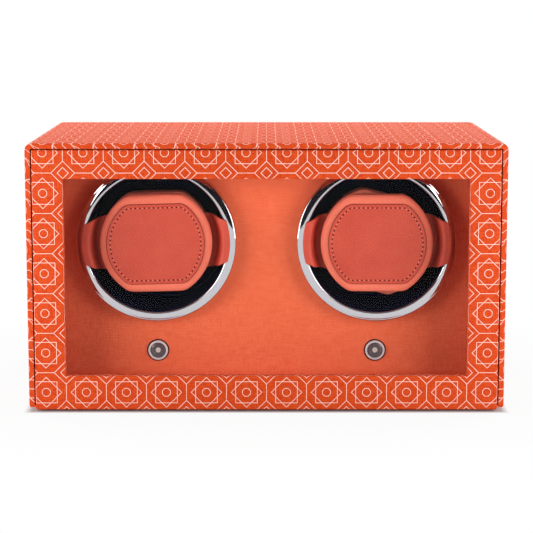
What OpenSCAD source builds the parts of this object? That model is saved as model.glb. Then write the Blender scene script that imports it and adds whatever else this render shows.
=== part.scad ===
// Double watch winder box: a winder block with two turning drums under a lift-off case with a window.
// Millimetres. +X to the right, +Y to the back, +Z up. Origin on the ground under the middle of the box.

/* [Case] */
// Width over the side panels
box_w = 273; // [268:1:300]
// Depth from the front frame to the back of the rear panel
box_d = 165; // [164:1:190]
// Height from the ground to the top panel
box_h = 154.7; // [153:0.1:175]
// Thickness of the top, side and rear panels
panel_t = 3; // [2.5:0.1:4]
// Outer radius of the two long top edges
corner_r = 4; // [3.2:0.1:6]
// Height of the lower edge of the side and rear panels
side_gap = 2.7; // [2:0.1:4]
// Height of the lower edge of the front frame
frame_gap = 0.8; // [0.5:0.1:1.5]
// Thickness of the front frame
frame_t = 6; // [5:0.5:8]
// Joint line between an inset board and the panels round it
groove = 0.3; // [0.1:0.1:0.6]
// Width of the notch for the power lead in the rear panel
notch_w = 36; // [30:1:50]
// Height of that notch above the ground
notch_h = 40; // [38:1:55]

/* [Window] */
// Width of the frame's side bars, from the side of the case to the window
side_bar = 21.2; // [19:0.1:26]
// Height of the frame's top bar, from the top of the case to the window
top_bar = 20.2; // [19:0.1:26]
// Height of the frame's lower bar
sill_h = 20.2; // [17:0.1:24]
// Thickness of the glass
glass_t = 2; // [1.5:0.5:3]
// How far the glass laps behind the frame
glass_lap = 5; // [4:0.5:6]
// How far the glass retainer laps behind the glass
retainer_lap = 2; // [1.5:0.5:3]
// Width of each bar of the glass retainer
retainer_w = 6; // [5:0.5:7]
// Depth of the glass retainer behind the glass
retainer_t = 4; // [3:0.5:5]

/* [Winder block] */
// Depth of the faceplate behind the front of the frame
face_depth = 44; // [43:1:50]
// Thickness of the faceplate
face_t = 4; // [3:0.5:6]
// Thickness of the block's side, top and rear boards
board_t = 4; // [3:0.5:5]
// Space between the block and the side panels
block_side_gap = 5; // [4.5:0.5:8]
// Space between the block and the top panel
block_top_gap = 4.7; // [3:0.1:8]
// Space between the block and the rear panel
block_rear_gap = 5.5; // [4.5:0.5:10]
// Thickness of the base plate
plate_t = 5.5; // [5:0.5:8]
// Space round the base plate inside the case
plate_gap = 0.5; // [0.4:0.1:1]
// Width and height of the battens that carry the case on the base plate
batten_w = 3.8; // [3:0.1:4]
// Length of those battens
batten_len = 120; // [80:5:130]
// Height of the rubber feet
foot_h = 2; // [1.5:0.5:3]
// Radius of the rubber feet
foot_r = 8; // [6:0.5:10]
// Distance of the feet from the edges of the base plate
foot_inset = 21; // [18:1:30]

/* [Rotors] */
// Distance from a rotor axis to the side board of the block
rotor_side = 59.8; // [58:0.1:61]
// Space between the bright bezels and the top board of the block
rotor_top_gap = 2.7; // [2:0.1:5]
// Distance from the axis of a push button up to the bezel over it
rotor_button_gap = 19.2; // [16:0.1:22]
// How far the bright bezel reaches outside the drum
bezel_out = 2.8; // [2:0.1:3.5]
// How far it stays outside the drum's inner wall
bezel_step = 0.3; // [0.2:0.1:0.8]
// Distance from the crown of the bezel to the faceplate
bezel_proud = 10; // [7:0.5:14]
// Height of the crown of the bezel over the rim of the drum
bezel_crown = 1.8; // [1.6:0.1:3]
// Width of the bevel on its inner edge
bezel_bevel = 0.8; // [0.5:0.1:1.2]
// How far its face falls back towards the outer edge
bezel_fall = 0.6; // [0.3:0.1:0.8]
// Radius of its outer edge
bezel_round = 0.8; // [0.4:0.1:1]
// Running gap between the bezel and the faceplate
bezel_gap = 0.5; // [0.4:0.1:1]
// Wall of the drum
drum_wall = 2.8; // [2.6:0.1:3]
// Depth of the drum inside, from the crown of the bezel to its floor
drum_depth = 54.5; // [51:0.5:60]
// Gap between the drum and its hole in the faceplate
drum_gap = 1.3; // [0.8:0.1:1.5]
// Radius of the steel axle
axle_r = 4; // [3:0.5:5]
// Radial clearance of running shafts
run_gap = 0.05; // [0.03:0.01:0.1]

/* [Cuffs] */
// Space between the round sides of the cushion and the drum
cuff_space = 7.6; // [7:0.1:10]
// How much each flat takes off the round cushion
cuff_cut = 4.3; // [3:0.1:6]
// Radius where a flat meets a round side
cuff_corner = 7; // [4:0.5:10]
// Depth of the front of the cushion behind the front of the case
cuff_depth = 28; // [27:0.5:29]
// Thickness of the front pad
pad_t = 12; // [11:0.5:13]
// Suede left round the leather patch at the round sides of the cushion
patch_margin = 4.8; // [4:0.1:7]
// Suede left round the leather patch at the flats
patch_flat_margin = 5.7; // [4:0.1:8]
// Thickness of the leather patch
patch_t = 0.9; // [0.6:0.1:1.5]
// Length of the rear pad
rear_pad_len = 30; // [26:1:34]
// Gap behind the carrier in which the rear pad turns
rear_pad_gap = 0.4; // [0.3:0.1:1]
// Turn of the right rear pad as it was left, degrees
rear_pad_turn = 17; // [0:1:20]
// Half height of the side wings
wing_half = 16.6; // [14:0.1:18]
// How far inside the edge of the bezel the lip of a side wing ends
wing_short = 2.2; // [1.5:0.1:2.8]
// Thickness of the side wings
wing_t = 2; // [1.5:0.1:2.2]
// Clearance between a wing and the drum and bezel that it hooks over
wing_gap = 0.4; // [0.3:0.1:0.5]
// Tilt of the left cuff in its drum, degrees
cuff_tilt = 1.5; // [0:0.5:3]

/* [Drive] */
// Module of the gear teeth
tooth_module = 1.25; // [1.25]
// Teeth of the drum gear
gear_teeth = 48; // [40:4:48]
// Teeth of the motor pinion
pinion_teeth = 12; // [12]
// Extra distance between the gear axes
mesh_gap = 0.1; // [0.08:0.01:0.15]
// Face width of the drum gear
gear_w = 6; // [4:0.5:7]
// Thickness of the chassis plate behind each drum
chassis_t = 4; // [3:0.5:5]
// Radius of the motor
motor_r = 12; // [10:0.5:13]
// Space between the motor's terminals and the rear board
motor_rear_gap = 3.5; // [2:0.5:8]
// Radius of the standoffs that carry the chassis plate
standoff_r = 4; // [3:0.5:5]
// How much nearer to the rotor axis, across and up, the standoffs stand than the bezel's edge
standoff_in = 4.8; // [4:0.1:6]

/* [Buttons and inlet] */
// Height of the push buttons
button_z = 27.5; // [26:0.5:30]
// Outer radius of the button's bright bezel
button_bezel_r = 5.85; // [5.4:0.05:6.5]
// Radius of the button cap
button_r = 4.6; // [4.4:0.1:5]
// Travel of the button
button_travel = 1; // [0.5:0.1:1.2]
// Height of the bright bezel on the faceplate
button_proud = 1.6; // [1.2:0.1:2.5]
// Height of the power inlet
inlet_z = 24; // [22:0.5:26]
// Radius of the socket in the power inlet
inlet_r = 2.85; // [2.8:0.05:3]

/* [Hidden] */
$fn = 96;
LEFT = -1;
RIGHT = 1;
EPS = 0.01;
cut = 1; // how far a cutter runs past the face that it opens

// Case
front_y = -box_d / 2;
back_y = box_d / 2;
in_x = box_w / 2 - panel_t;
in_top = box_h - panel_t;
inset_x = in_x - groove;
inset_top = in_top - groove;
frame_back = front_y + frame_t;
window_z = frame_gap + sill_h;
window_w = box_w - 2 * side_bar;
window_h = box_h - top_bar - window_z;
glass_back = frame_back + glass_t;
rear_in = back_y - panel_t;
notch_r = notch_w / 2;

// Winder block
face_y = front_y + face_depth;
face_back = face_y + face_t;
floor_z = foot_h + plate_t;
block_x = in_x - block_side_gap;
block_top_z = in_top - block_top_gap;
block_back = rear_in - block_rear_gap;
block_back_in = block_back - board_t;
plate_x = in_x - plate_gap;
plate_front = frame_back + plate_gap;
plate_back = rear_in - plate_gap;
screw_r = 2;
screw_head_r = 3.6;
screw_head_h = 2;
screw_len = 14;
screw_play = 0.2; // round and behind a countersunk head
screw_inset = 12;
screw_rows = [face_back + screw_inset, block_back_in - screw_inset];
screw_x = block_x - board_t / 2;

// Rotors, as large as the height over the push buttons allows
bezel_low = button_z + rotor_button_gap;
bezel_r = (block_top_z - board_t - rotor_top_gap - bezel_low) / 2;
rotor_z = bezel_low + bezel_r;
rotor_at = block_x - board_t - rotor_side;
drum_r = bezel_r - bezel_out;
drum_in_r = drum_r - drum_wall;
bezel_in_r = drum_in_r + bezel_step;
crown_y = face_y - bezel_proud;
rim_y = crown_y + bezel_crown;
bezel_back = face_y - bezel_gap;
floor_y = crown_y + drum_depth;
drum_floor_t = 2.5;
axle_seat = 1; // floor left in front of the axle
drum_back = floor_y + drum_floor_t;
hub_r = 9;
hub_len = 2.5;
gear_y = drum_back + hub_len;
gear_back = gear_y + gear_w;
bush_r = 7;
bush_flange_r = 9;
bush_flange_t = 2;
bush_proud = 3;
shim = 0.5; // axial play between turning and fixed parts
chassis_y = gear_back + shim + bush_flange_t;
chassis_back = chassis_y + chassis_t;
bush_back = chassis_back + bush_proud;
collar_y = bush_back + shim;
collar_t = 4;
collar_r = bush_r + 1;
axle_end = 1; // axle past the collar
axle_back = collar_y + collar_t + axle_end;
seat_gap = 0.02; // pieces pressed on a shaft

// Cuffs
cuff_r = drum_in_r - cuff_space;
cuff_flat = cuff_r - cuff_cut;
patch_r = cuff_r - patch_margin;
patch_flat = cuff_flat - patch_flat_margin;
cuff_y = front_y + cuff_depth;
pad_back = cuff_y + pad_t;
carrier_t = 2;
carrier_back = pad_back + carrier_t;
wing_tab_t = 1.5;
wing_tab_back = carrier_back + wing_tab_t;
rear_pad_y = wing_tab_back + rear_pad_gap;
rear_pad_back = rear_pad_y + rear_pad_len;
pivot_r = 5;
pivot_len = 5;
pivot_head_r = 7;
pivot_head_t = 2;
pivot_head_y = wing_tab_back + pivot_len;
patch_corner = 7;
shoulder = 3; // rounded edges of the pads
carrier_inset = 2.6; // pad past the edge of the carrier
carrier_r = cuff_r - carrier_inset;
carrier_flat = cuff_flat - carrier_inset;
carrier_corner = 5;
wing_in_r = 20;
wing_bend = 1.6; // slope from the riser of a wing to its lip
wing_edge = 0.6; // bevel on the edges of the lip
pivot_play = 0.3; // round the head of the pivot
wing_r = bezel_r - wing_short;
wing_out_r = drum_in_r - wing_gap;
wing_chamfer = 5.6;
lip_back = crown_y - wing_gap;

// Drive
pressure_angle = 25;
backlash = 0.12;
gear_r = tooth_module * gear_teeth / 2;
pinion_r = tooth_module * pinion_teeth / 2;
tooth_rise = 0.8 * tooth_module;
tooth_fall = 1.05 * tooth_module;
mesh_distance = gear_r + pinion_r + mesh_gap;
motor_z = rotor_z - mesh_distance;
flank_steps = 3;
shaft_r = 2;
shaft_reach = 6;
motor_boss_r = 3.5;
chassis_margin = 6;
boss_margin = 6.9; // of the chassis plate below the boss of the motor
standoff_at = bezel_r - standoff_in;
chassis_low = min(rotor_z - standoff_at - chassis_margin, motor_z - motor_boss_r - boss_margin);
chassis_high = rotor_z + standoff_at + chassis_margin;
chassis_half = standoff_at + chassis_margin;
gearbox_len = 17;
motor_step = 1.5;
terminal_r = 1;
terminal_len = 3;
motor_len = block_back_in - motor_rear_gap - terminal_len - chassis_back;
terminal_at = 7;

// Buttons
button_barrel_len = 10;
button_back = face_back + button_barrel_len;
switch_len = 6;
led_play = 0.5; // between the dome of the lamp and a pressed cap
button_wall = 0.9;
button_recess = 0.9;
button_fit = 0.08;
button_front = face_y - button_proud + button_recess;
button_lens_t = 1.4;
button_skirt_len = 9;
button_bore_r = 3;
barrel_r = button_r + button_fit + button_wall;
led_r = 1.5;
led_front = button_front + button_lens_t + button_travel + led_play;
button_nut_r = 8;
button_nut_t = 3;

// Inlet and board
inlet_body_r = 6;
inlet_flange_r = 8.5;
inlet_flange_t = 2;
inlet_depth = 12;
inlet_bore = 10;
inlet_pin_r = 1;
inlet_pin_sunk = 1;
inlet_nut_r = 9;
inlet_nut_t = 3;
board_w = 70;
board_h = 44;
board_thick = 1.6;
boss_inset = 5;
board_z = 88;
boss_r = 3;
boss_len = 5;
chip_w = 12;
chip_t = 2.5;

orange = [0.90, 0.31, 0.10];
lining = [0.80, 0.27, 0.17];
suede = [0.92, 0.47, 0.37];
leather = [0.78, 0.33, 0.26];
bright = [0.82, 0.82, 0.84];
black = [0.05, 0.05, 0.08];
steel = [0.62, 0.63, 0.65];
bronze = [0.66, 0.48, 0.24];
smoke = [0.35, 0.34, 0.35];
nylon = [0.90, 0.89, 0.84];
green = [0.08, 0.36, 0.20];

// Places children, drawn along +Z, along +Y on the axis through (x, z). Their z becomes y.
module along_y(x, z) translate([x, 0, z]) rotate([-90, 0, 0]) children();

// A round bar from y0 to y1 for along_y
module bar(r, y0, y1) translate([0, 0, y0]) cylinder(r = r, h = y1 - y0);

// A board between two corners
module board(low, high) translate(low) cube(high - low);

// Where a rotor stands across the box
function rotor_x(side) = side * rotor_at;

// ---------- case ----------

// Box section of the case: rounded at the two long top edges
module case_block(x, top, r) {
    board([-x, front_y, side_gap], [x, back_y, top - r]);
    board([-x + r, front_y, top - r - EPS], [x - r, back_y, top]);
    for (side = [LEFT, RIGHT]) along_y(side * (x - r), top - r) bar(r, front_y, back_y);
}

module case_shell() {
    difference() {
        case_block(box_w / 2, box_h, corner_r);
        board([-in_x, front_y - cut, side_gap - cut], [in_x, back_y + cut, in_top]);
    }
}

// A prism through the whole depth of the case, from an outline in x and z
module case_prism(outline) {
    translate([0, back_y + cut, 0]) rotate([90, 0, 0])
        linear_extrude(height = box_d + 2 * cut) polygon(outline);
}

// The panels meet in mitres, on a line through the inner corners of the case
mitre_in = [in_x - 1, in_top - 1];
mitre_out = [in_x + 20, in_top + 20];

module side_panel(side) color(orange) intersection() {
    case_shell();
    case_prism([[side * mitre_in[0], 0], [side * mitre_in[0], mitre_in[1]],
        [side * mitre_out[0], mitre_out[1]], [side * mitre_out[0], 0]]);
}

module top_panel() color(orange) intersection() {
    case_shell();
    case_prism([[-mitre_in[0], mitre_in[1]], mitre_in, mitre_out, [-mitre_out[0], mitre_out[1]]]);
}

module left_panel() side_panel(LEFT);

module right_panel() side_panel(RIGHT);

module rear_panel() color(orange) difference() {
    board([-inset_x, rear_in, side_gap], [inset_x, back_y, inset_top]);
    board([-notch_r, rear_in - cut, 0], [notch_r, back_y + cut, notch_h - notch_r]);
    along_y(0, notch_h - notch_r) bar(notch_r, rear_in - cut, back_y + cut);
}

module front_frame() color(orange) difference() {
    board([-inset_x, front_y, frame_gap], [inset_x, frame_back, inset_top]);
    board([-window_w / 2, front_y - cut, window_z], [window_w / 2, frame_back + cut, window_z + window_h]);
}

module glass_pane() color([0.8, 0.9, 0.9, 0.25])
    board([-window_w / 2 - glass_lap, frame_back, window_z - glass_lap],
        [window_w / 2 + glass_lap, glass_back, window_z + window_h + glass_lap]);

module glass_retainer() {
    inner = glass_lap - retainer_lap;
    outer = inner + retainer_w;
    color(lining) difference() {
        board([-window_w / 2 - outer, frame_back, window_z - outer],
            [window_w / 2 + outer, glass_back + retainer_t, window_z + window_h + outer]);
        board([-window_w / 2 - inner, frame_back - cut, window_z - inner],
            [window_w / 2 + inner, glass_back + retainer_t + cut, window_z + window_h + inner]);
        board([-window_w / 2 - glass_lap, frame_back - cut, window_z - glass_lap],
            [window_w / 2 + glass_lap, glass_back, window_z + window_h + glass_lap]);
    }
}

module rest_battens() color(lining) for (side = [LEFT, RIGHT])
    board([side < 0 ? -in_x : in_x - batten_w, -batten_len / 2, floor_z],
        [side < 0 ? -in_x + batten_w : in_x, batten_len / 2, floor_z + batten_w]);

// ---------- winder block ----------

module base_plate() color(lining) difference() {
    board([-plate_x, plate_front, foot_h], [plate_x, plate_back, floor_z]);
    for (side = [LEFT, RIGHT], y = screw_rows) translate([side * screw_x, y, 0]) {
        translate([0, 0, foot_h - cut]) cylinder(r = screw_r, h = plate_t + 2 * cut);
        translate([0, 0, foot_h - cut])
            cylinder(r = screw_head_r + screw_play, h = screw_head_h + screw_play + cut);
    }
}

module feet() color(black) for (side = [LEFT, RIGHT], y = [plate_front + foot_inset, plate_back - foot_inset])
    translate([side * (plate_x - foot_inset), y, 0]) cylinder(r = foot_r, h = foot_h);

module base_screws() color(steel) for (side = [LEFT, RIGHT], y = screw_rows)
    translate([side * screw_x, y, foot_h + screw_play]) {
        cylinder(r = screw_head_r, h = screw_head_h);
        cylinder(r = screw_r - seat_gap, h = screw_len);
    }

module faceplate() color(lining) difference() {
    board([-block_x, face_y, floor_z], [block_x, face_back, block_top_z]);
    for (side = [LEFT, RIGHT]) {
        along_y(rotor_x(side), rotor_z) bar(drum_r + drum_gap, face_y - cut, face_back + cut);
        along_y(rotor_x(side), button_z) bar(barrel_r + seat_gap, face_y - cut, face_back + cut);
    }
}

module block_side(side) color(lining) difference() {
    board([side < 0 ? -block_x : block_x - board_t, face_back, floor_z],
        [side < 0 ? -block_x + board_t : block_x, block_back, block_top_z]);
    for (y = screw_rows) translate([side * screw_x, y, floor_z - cut])
        cylinder(r = screw_r - seat_gap, h = foot_h + screw_play + screw_len - floor_z + cut);
}

module block_left() block_side(LEFT);

module block_right() block_side(RIGHT);

module block_top() color(lining)
    board([-block_x + board_t, face_back, block_top_z - board_t],
        [block_x - board_t, block_back_in, block_top_z]);

module block_rear() color(lining) difference() {
    board([-block_x + board_t, block_back_in, floor_z], [block_x - board_t, block_back, block_top_z]);
    along_y(0, inlet_z) bar(inlet_body_r + seat_gap, block_back_in - cut, block_back + cut);
}

module control_board() color(green) {
    y1 = block_back_in - boss_len;
    board([-board_w / 2, y1 - board_thick, board_z - board_h / 2], [board_w / 2, y1, board_z + board_h / 2]);
    board([-chip_w / 2, y1 - board_thick - chip_t, board_z - chip_w / 2],
        [chip_w / 2, y1 - board_thick + EPS, board_z + chip_w / 2]);
    for (sx = [-1, 1], sz = [-1, 1])
        along_y(sx * (board_w / 2 - boss_inset), board_z + sz * (board_h / 2 - boss_inset))
            bar(boss_r, y1 - EPS, block_back_in);
}

module power_inlet() color(black) along_y(0, inlet_z) {
    difference() {
        union() {
            bar(inlet_flange_r, block_back, block_back + inlet_flange_t);
            bar(inlet_body_r, block_back - inlet_depth, block_back + EPS);
        }
        bar(inlet_r, block_back + inlet_flange_t - inlet_bore, block_back + inlet_flange_t + cut);
    }
    bar(inlet_pin_r, block_back + inlet_flange_t - inlet_bore - EPS,
        block_back + inlet_flange_t - inlet_pin_sunk);
}

module inlet_nut() color(steel) along_y(0, inlet_z) difference() {
    translate([0, 0, block_back_in - inlet_nut_t]) cylinder(r = inlet_nut_r, h = inlet_nut_t, $fn = 6);
    bar(inlet_body_r + seat_gap, block_back_in - inlet_nut_t - cut, block_back_in + cut);
}

// ---------- behind each rotor ----------

module chassis(side) color(nylon) difference() {
    board([rotor_x(side) - chassis_half, chassis_y, chassis_low],
        [rotor_x(side) + chassis_half, chassis_back, chassis_high]);
    along_y(rotor_x(side), rotor_z) bar(bush_r + seat_gap, chassis_y - cut, chassis_back + cut);
    along_y(rotor_x(side), motor_z) bar(motor_boss_r + seat_gap, chassis_y - cut, chassis_back + cut);
}

module standoffs(side) color(steel) for (sx = [-1, 1], sz = [-1, 1])
    along_y(rotor_x(side) + sx * standoff_at, rotor_z + sz * standoff_at)
        bar(standoff_r, face_back, chassis_y);

module bush(side) color(bronze) along_y(rotor_x(side), rotor_z) difference() {
    union() {
        bar(bush_flange_r, chassis_y - bush_flange_t, chassis_y);
        bar(bush_r, chassis_y - EPS, bush_back);
    }
    bar(axle_r + run_gap, chassis_y - bush_flange_t - cut, bush_back + cut);
}

module motor(side) color(steel) along_y(rotor_x(side), motor_z) difference() {
    union() {
        bar(motor_boss_r, chassis_y + EPS, chassis_back + EPS);
        bar(motor_r, chassis_back, chassis_back + gearbox_len);
        bar(motor_r - motor_step, chassis_back + gearbox_len - EPS, chassis_back + motor_len);
        for (sx = [-1, 1]) translate([sx * terminal_at, 0, 0])
            bar(terminal_r, chassis_back + motor_len - EPS, chassis_back + motor_len + terminal_len);
    }
    bar(shaft_r + run_gap, chassis_y - cut, chassis_back + shaft_reach + shim);
}

module button_bezel(side) color(bright) along_y(rotor_x(side), button_z) {
    difference() {
        union() {
            bar(button_bezel_r, face_y - button_proud, face_y);
            bar(barrel_r, face_y - EPS, button_back);
            translate([0, 0, face_back]) cylinder(r = button_nut_r, h = button_nut_t, $fn = 6);
        }
        bar(button_r + button_fit, face_y - button_proud - cut, button_back + cut);
    }
}

module button_switch(side) color(smoke) along_y(rotor_x(side), button_z) {
    bar(barrel_r, button_back, button_back + switch_len);
    bar(led_r, led_front + led_r, button_back + EPS);
    translate([0, 0, led_front + led_r]) sphere(r = led_r);
}

module left_chassis() chassis(LEFT);

module left_standoffs() standoffs(LEFT);

module left_bush() bush(LEFT);

module left_motor() motor(LEFT);

module left_button_bezel() button_bezel(LEFT);

module left_button_switch() button_switch(LEFT);

module right_chassis() chassis(RIGHT);

module right_standoffs() standoffs(RIGHT);

module right_bush() bush(RIGHT);

module right_motor() motor(RIGHT);

module right_button_bezel() button_bezel(RIGHT);

module right_button_switch() button_switch(RIGHT);

// ---------- rotors ----------

module drum(side) color(black) along_y(rotor_x(side), rotor_z) difference() {
    union() {
        bar(drum_r, rim_y, drum_back);
        bar(hub_r, drum_back - EPS, gear_y);
    }
    bar(drum_in_r, rim_y - cut, floor_y);
    bar(axle_r + seat_gap, floor_y + axle_seat, gear_y + cut);
}

// Section of the bezel: a crown on the rim of the drum and a skirt outside it. The face of the
// crown starts at the bevel on its inner edge and falls back to its rounded outer edge.
module bezel_section() {
    peak = bezel_in_r + bezel_bevel;
    edge = bezel_r - bezel_round;
    edge_y = crown_y + bezel_fall + bezel_round;
    skirt_r = drum_r + seat_gap;
    round = [for (a = [0:15:90]) [edge + bezel_round * cos(a), edge_y - bezel_round * sin(a)]];
    face = [for (i = [3:-1:0]) [peak + (edge - peak) * i / 4, crown_y + bezel_fall * pow(i / 4, 2)]];
    bevel = [[bezel_in_r, crown_y + bezel_bevel], [bezel_in_r, rim_y]];
    back = [[skirt_r, rim_y], [skirt_r, bezel_back], [bezel_r, bezel_back]];
    polygon(concat(back, round, face, bevel));
}

module bezel(side) color(bright) along_y(rotor_x(side), rotor_z) rotate_extrude() bezel_section();

function involute_turn(a) = tan(a) * 180 / PI - a;

// Half the angle that a tooth takes at radius r
function tooth_half(teeth, r) =
    let (pitch = tooth_module * teeth / 2, base = pitch * cos(pressure_angle))
    90 / teeth - backlash / pitch * 90 / PI
        + involute_turn(pressure_angle) - involute_turn(acos(min(1, base / r)));

// One tooth, from its root to its tip and back, centred on angle a
function tooth(teeth, a) =
    let (pitch = tooth_module * teeth / 2, root = pitch - tooth_fall, tip = pitch + tooth_rise,
        start = max(root, pitch * cos(pressure_angle) + 0.001),
        radii = [for (i = [0:flank_steps]) start + (tip - start) * i / flank_steps])
    concat(
        [let (h = tooth_half(teeth, start)) root * [cos(a - h), sin(a - h)]],
        [for (r = radii) let (h = tooth_half(teeth, r)) r * [cos(a - h), sin(a - h)]],
        [for (i = [flank_steps:-1:0]) let (r = radii[i], h = tooth_half(teeth, r))
            r * [cos(a + h), sin(a + h)]],
        [let (h = tooth_half(teeth, start)) root * [cos(a + h), sin(a + h)]]);

// Radii closer to the root than this repeat a corner and are left out
function gear_outline(teeth, turn) =
    let (pitch = tooth_module * teeth / 2, repeats = pitch - tooth_fall > pitch * cos(pressure_angle))
    [for (t = [0:teeth - 1]) let (p = tooth(teeth, t * 360 / teeth + turn))
        for (i = [0:len(p) - 1]) if (!(repeats && (i == 0 || i == len(p) - 1))) p[i]];

// Turned so that a gap of the pinion faces a tooth of the gear straight above it
module gear(side) color(nylon) along_y(rotor_x(side), rotor_z) difference() {
    translate([0, 0, gear_y]) linear_extrude(height = gear_w) polygon(gear_outline(gear_teeth, 90));
    bar(axle_r + seat_gap, gear_y - cut, gear_back + cut);
}

module axle(side) color(steel) along_y(rotor_x(side), rotor_z) bar(axle_r, floor_y + axle_seat, axle_back);

module collar(side) color(steel) along_y(rotor_x(side), rotor_z) difference() {
    bar(collar_r, collar_y, collar_y + collar_t);
    bar(axle_r + seat_gap, collar_y - cut, collar_y + collar_t + cut);
}

module pinion(side) color(bronze) along_y(rotor_x(side), motor_z) {
    translate([0, 0, gear_y]) linear_extrude(height = gear_w)
        polygon(gear_outline(pinion_teeth, -90 + 180 / pinion_teeth));
    bar(shaft_r, gear_back - EPS, chassis_back + shaft_reach);
}

module left_drum() drum(LEFT);

module left_bezel() bezel(LEFT);

module left_gear() gear(LEFT);

module left_axle() axle(LEFT);

module left_collar() collar(LEFT);

module left_pinion() pinion(LEFT);

module right_drum() drum(RIGHT);

module right_bezel() bezel(RIGHT);

module right_gear() gear(RIGHT);

module right_axle() axle(RIGHT);

module right_collar() collar(RIGHT);

module right_pinion() pinion(RIGHT);

// ---------- push buttons ----------

module button(side) color(smoke) along_y(rotor_x(side), button_z) difference() {
    bar(button_r, button_front, button_front + button_skirt_len);
    bar(button_bore_r, button_front + button_lens_t, button_front + button_skirt_len + cut);
}

module left_button() button(LEFT);

module right_button() button(RIGHT);

// ---------- cuffs ----------

// A disc of radius r with flats at half height flat and corners of radius c, from y0 to y1
module cut_disc(r, flat, c, y0, y1) {
    corner_z = flat - c;
    corner_x = sqrt((r - c) * (r - c) - corner_z * corner_z);
    touch_z = corner_z * r / (r - c);
    intersection() {
        bar(r, y0, y1);
        translate([-r - cut, -touch_z, y0]) cube([2 * (r + cut), 2 * touch_z, y1 - y0]);
    }
    translate([-corner_x, -flat, y0]) cube([2 * corner_x, 2 * flat, y1 - y0]);
    for (sx = [-1, 1], sz = [-1, 1]) translate([sx * corner_x, sz * corner_z, 0]) bar(c, y0, y1);
}

// How a cuff lies in its drum
module in_drum(side) along_y(rotor_x(side), rotor_z) rotate(side < 0 ? -cuff_tilt : 0) children();

// The front pad's outline taken in by an inset, from a depth behind its front to its back
module pad_layer(inset, depth)
    cut_disc(cuff_r - inset, cuff_flat - inset, cuff_corner - inset / 2, cuff_y + depth, pad_back, $fn = 48);

module cuff_pad(side) color(suede) in_drum(side) hull() {
    pad_layer(0, shoulder);
    pad_layer(shoulder / 3, shoulder / 3);
    pad_layer(shoulder, 0);
}

module cuff_patch(side) color(leather) in_drum(side)
    cut_disc(patch_r, patch_flat, patch_corner, cuff_y - patch_t, cuff_y);

module cuff_carrier(side) color(black) in_drum(side) {
    cut_disc(carrier_r, carrier_flat, carrier_corner, pad_back, carrier_back);
    bar(pivot_r, carrier_back - EPS, pivot_head_y);
    bar(pivot_head_r, pivot_head_y - EPS, pivot_head_y + pivot_head_t);
}

// Section of a wing: a tab behind the carrier, a riser inside the drum and a lip over the bezel
module wing_section() {
    front = lip_back - wing_t;
    polygon([
        [wing_in_r, carrier_back], [wing_out_r - wing_t, carrier_back],
        [wing_out_r - wing_t, front + wing_bend],
        [wing_out_r - wing_t + wing_bend, front], [wing_r - wing_edge, front], [wing_r, front + wing_edge],
        [wing_r, lip_back], [wing_out_r, lip_back], [wing_out_r, wing_tab_back], [wing_in_r, wing_tab_back]]);
}

// Outline of both wings seen from the front: full height beside the pad, chamfered towards the lip
module cuff_wings(side) color(orange) in_drum(side) intersection() {
    root_x = wing_in_r / 2;
    bend_x = wing_r - 2 * wing_chamfer;
    end_x = wing_r + cut;
    end_z = wing_half - wing_chamfer;
    rotate_extrude() wing_section();
    depth = wing_tab_back - lip_back + wing_t + 2 * cut;
    for (s = [-1, 1]) translate([0, 0, lip_back - wing_t - cut]) linear_extrude(height = depth)
        polygon([[s * root_x, -wing_half], [s * bend_x, -wing_half], [s * end_x, -end_z],
            [s * end_x, end_z], [s * bend_x, wing_half], [s * root_x, wing_half]]);
}

module rear_pad(side) color(suede) in_drum(side) rotate(side < 0 ? 0 : rear_pad_turn) difference() {
    intersection() {
        cut_disc(cuff_r, cuff_flat, cuff_corner, rear_pad_y, rear_pad_back);
        union() {
            bar(cuff_r + cut, rear_pad_y - cut, rear_pad_back - shoulder);
            translate([0, 0, rear_pad_back - shoulder - EPS])
                cylinder(r1 = cuff_r + cut, r2 = cuff_r - shoulder, h = shoulder + 2 * EPS);
        }
    }
    bar(pivot_r + run_gap, rear_pad_y - cut, pivot_head_y);
    bar(pivot_head_r + pivot_play, pivot_head_y - pivot_play, pivot_head_y + pivot_head_t + pivot_play);
}

module left_cuff_pad() cuff_pad(LEFT);

module left_cuff_patch() cuff_patch(LEFT);

module left_cuff_carrier() cuff_carrier(LEFT);

module left_cuff_wings() cuff_wings(LEFT);

module left_rear_pad() rear_pad(LEFT);

module right_cuff_pad() cuff_pad(RIGHT);

module right_cuff_patch() cuff_patch(RIGHT);

module right_cuff_carrier() cuff_carrier(RIGHT);

module right_cuff_wings() cuff_wings(RIGHT);

module right_rear_pad() rear_pad(RIGHT);

top_panel();
left_panel();
right_panel();
rear_panel();
front_frame();
glass_pane();
glass_retainer();
rest_battens();
base_plate();
feet();
base_screws();
faceplate();
block_left();
block_right();
block_top();
block_rear();
control_board();
power_inlet();
inlet_nut();
left_chassis();
left_standoffs();
left_bush();
left_motor();
left_button_bezel();
left_button_switch();
right_chassis();
right_standoffs();
right_bush();
right_motor();
right_button_bezel();
right_button_switch();
left_drum();
left_bezel();
left_gear();
left_axle();
left_collar();
right_drum();
right_bezel();
right_gear();
right_axle();
right_collar();
left_pinion();
right_pinion();
left_button();
right_button();
left_cuff_pad();
left_cuff_patch();
left_cuff_carrier();
left_cuff_wings();
left_rear_pad();
right_cuff_pad();
right_cuff_patch();
right_cuff_carrier();
right_cuff_wings();
right_rear_pad();
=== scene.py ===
"""Looks of the double watch winder box: wrapped case, suede cuffs, chrome rings and studio light.

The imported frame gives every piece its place. All lengths are in metres, +X right, +Y back, +Z up.
"""

import logging
import math
from dataclasses import dataclass, field
from enum import Enum
from typing import Callable, Union

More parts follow.
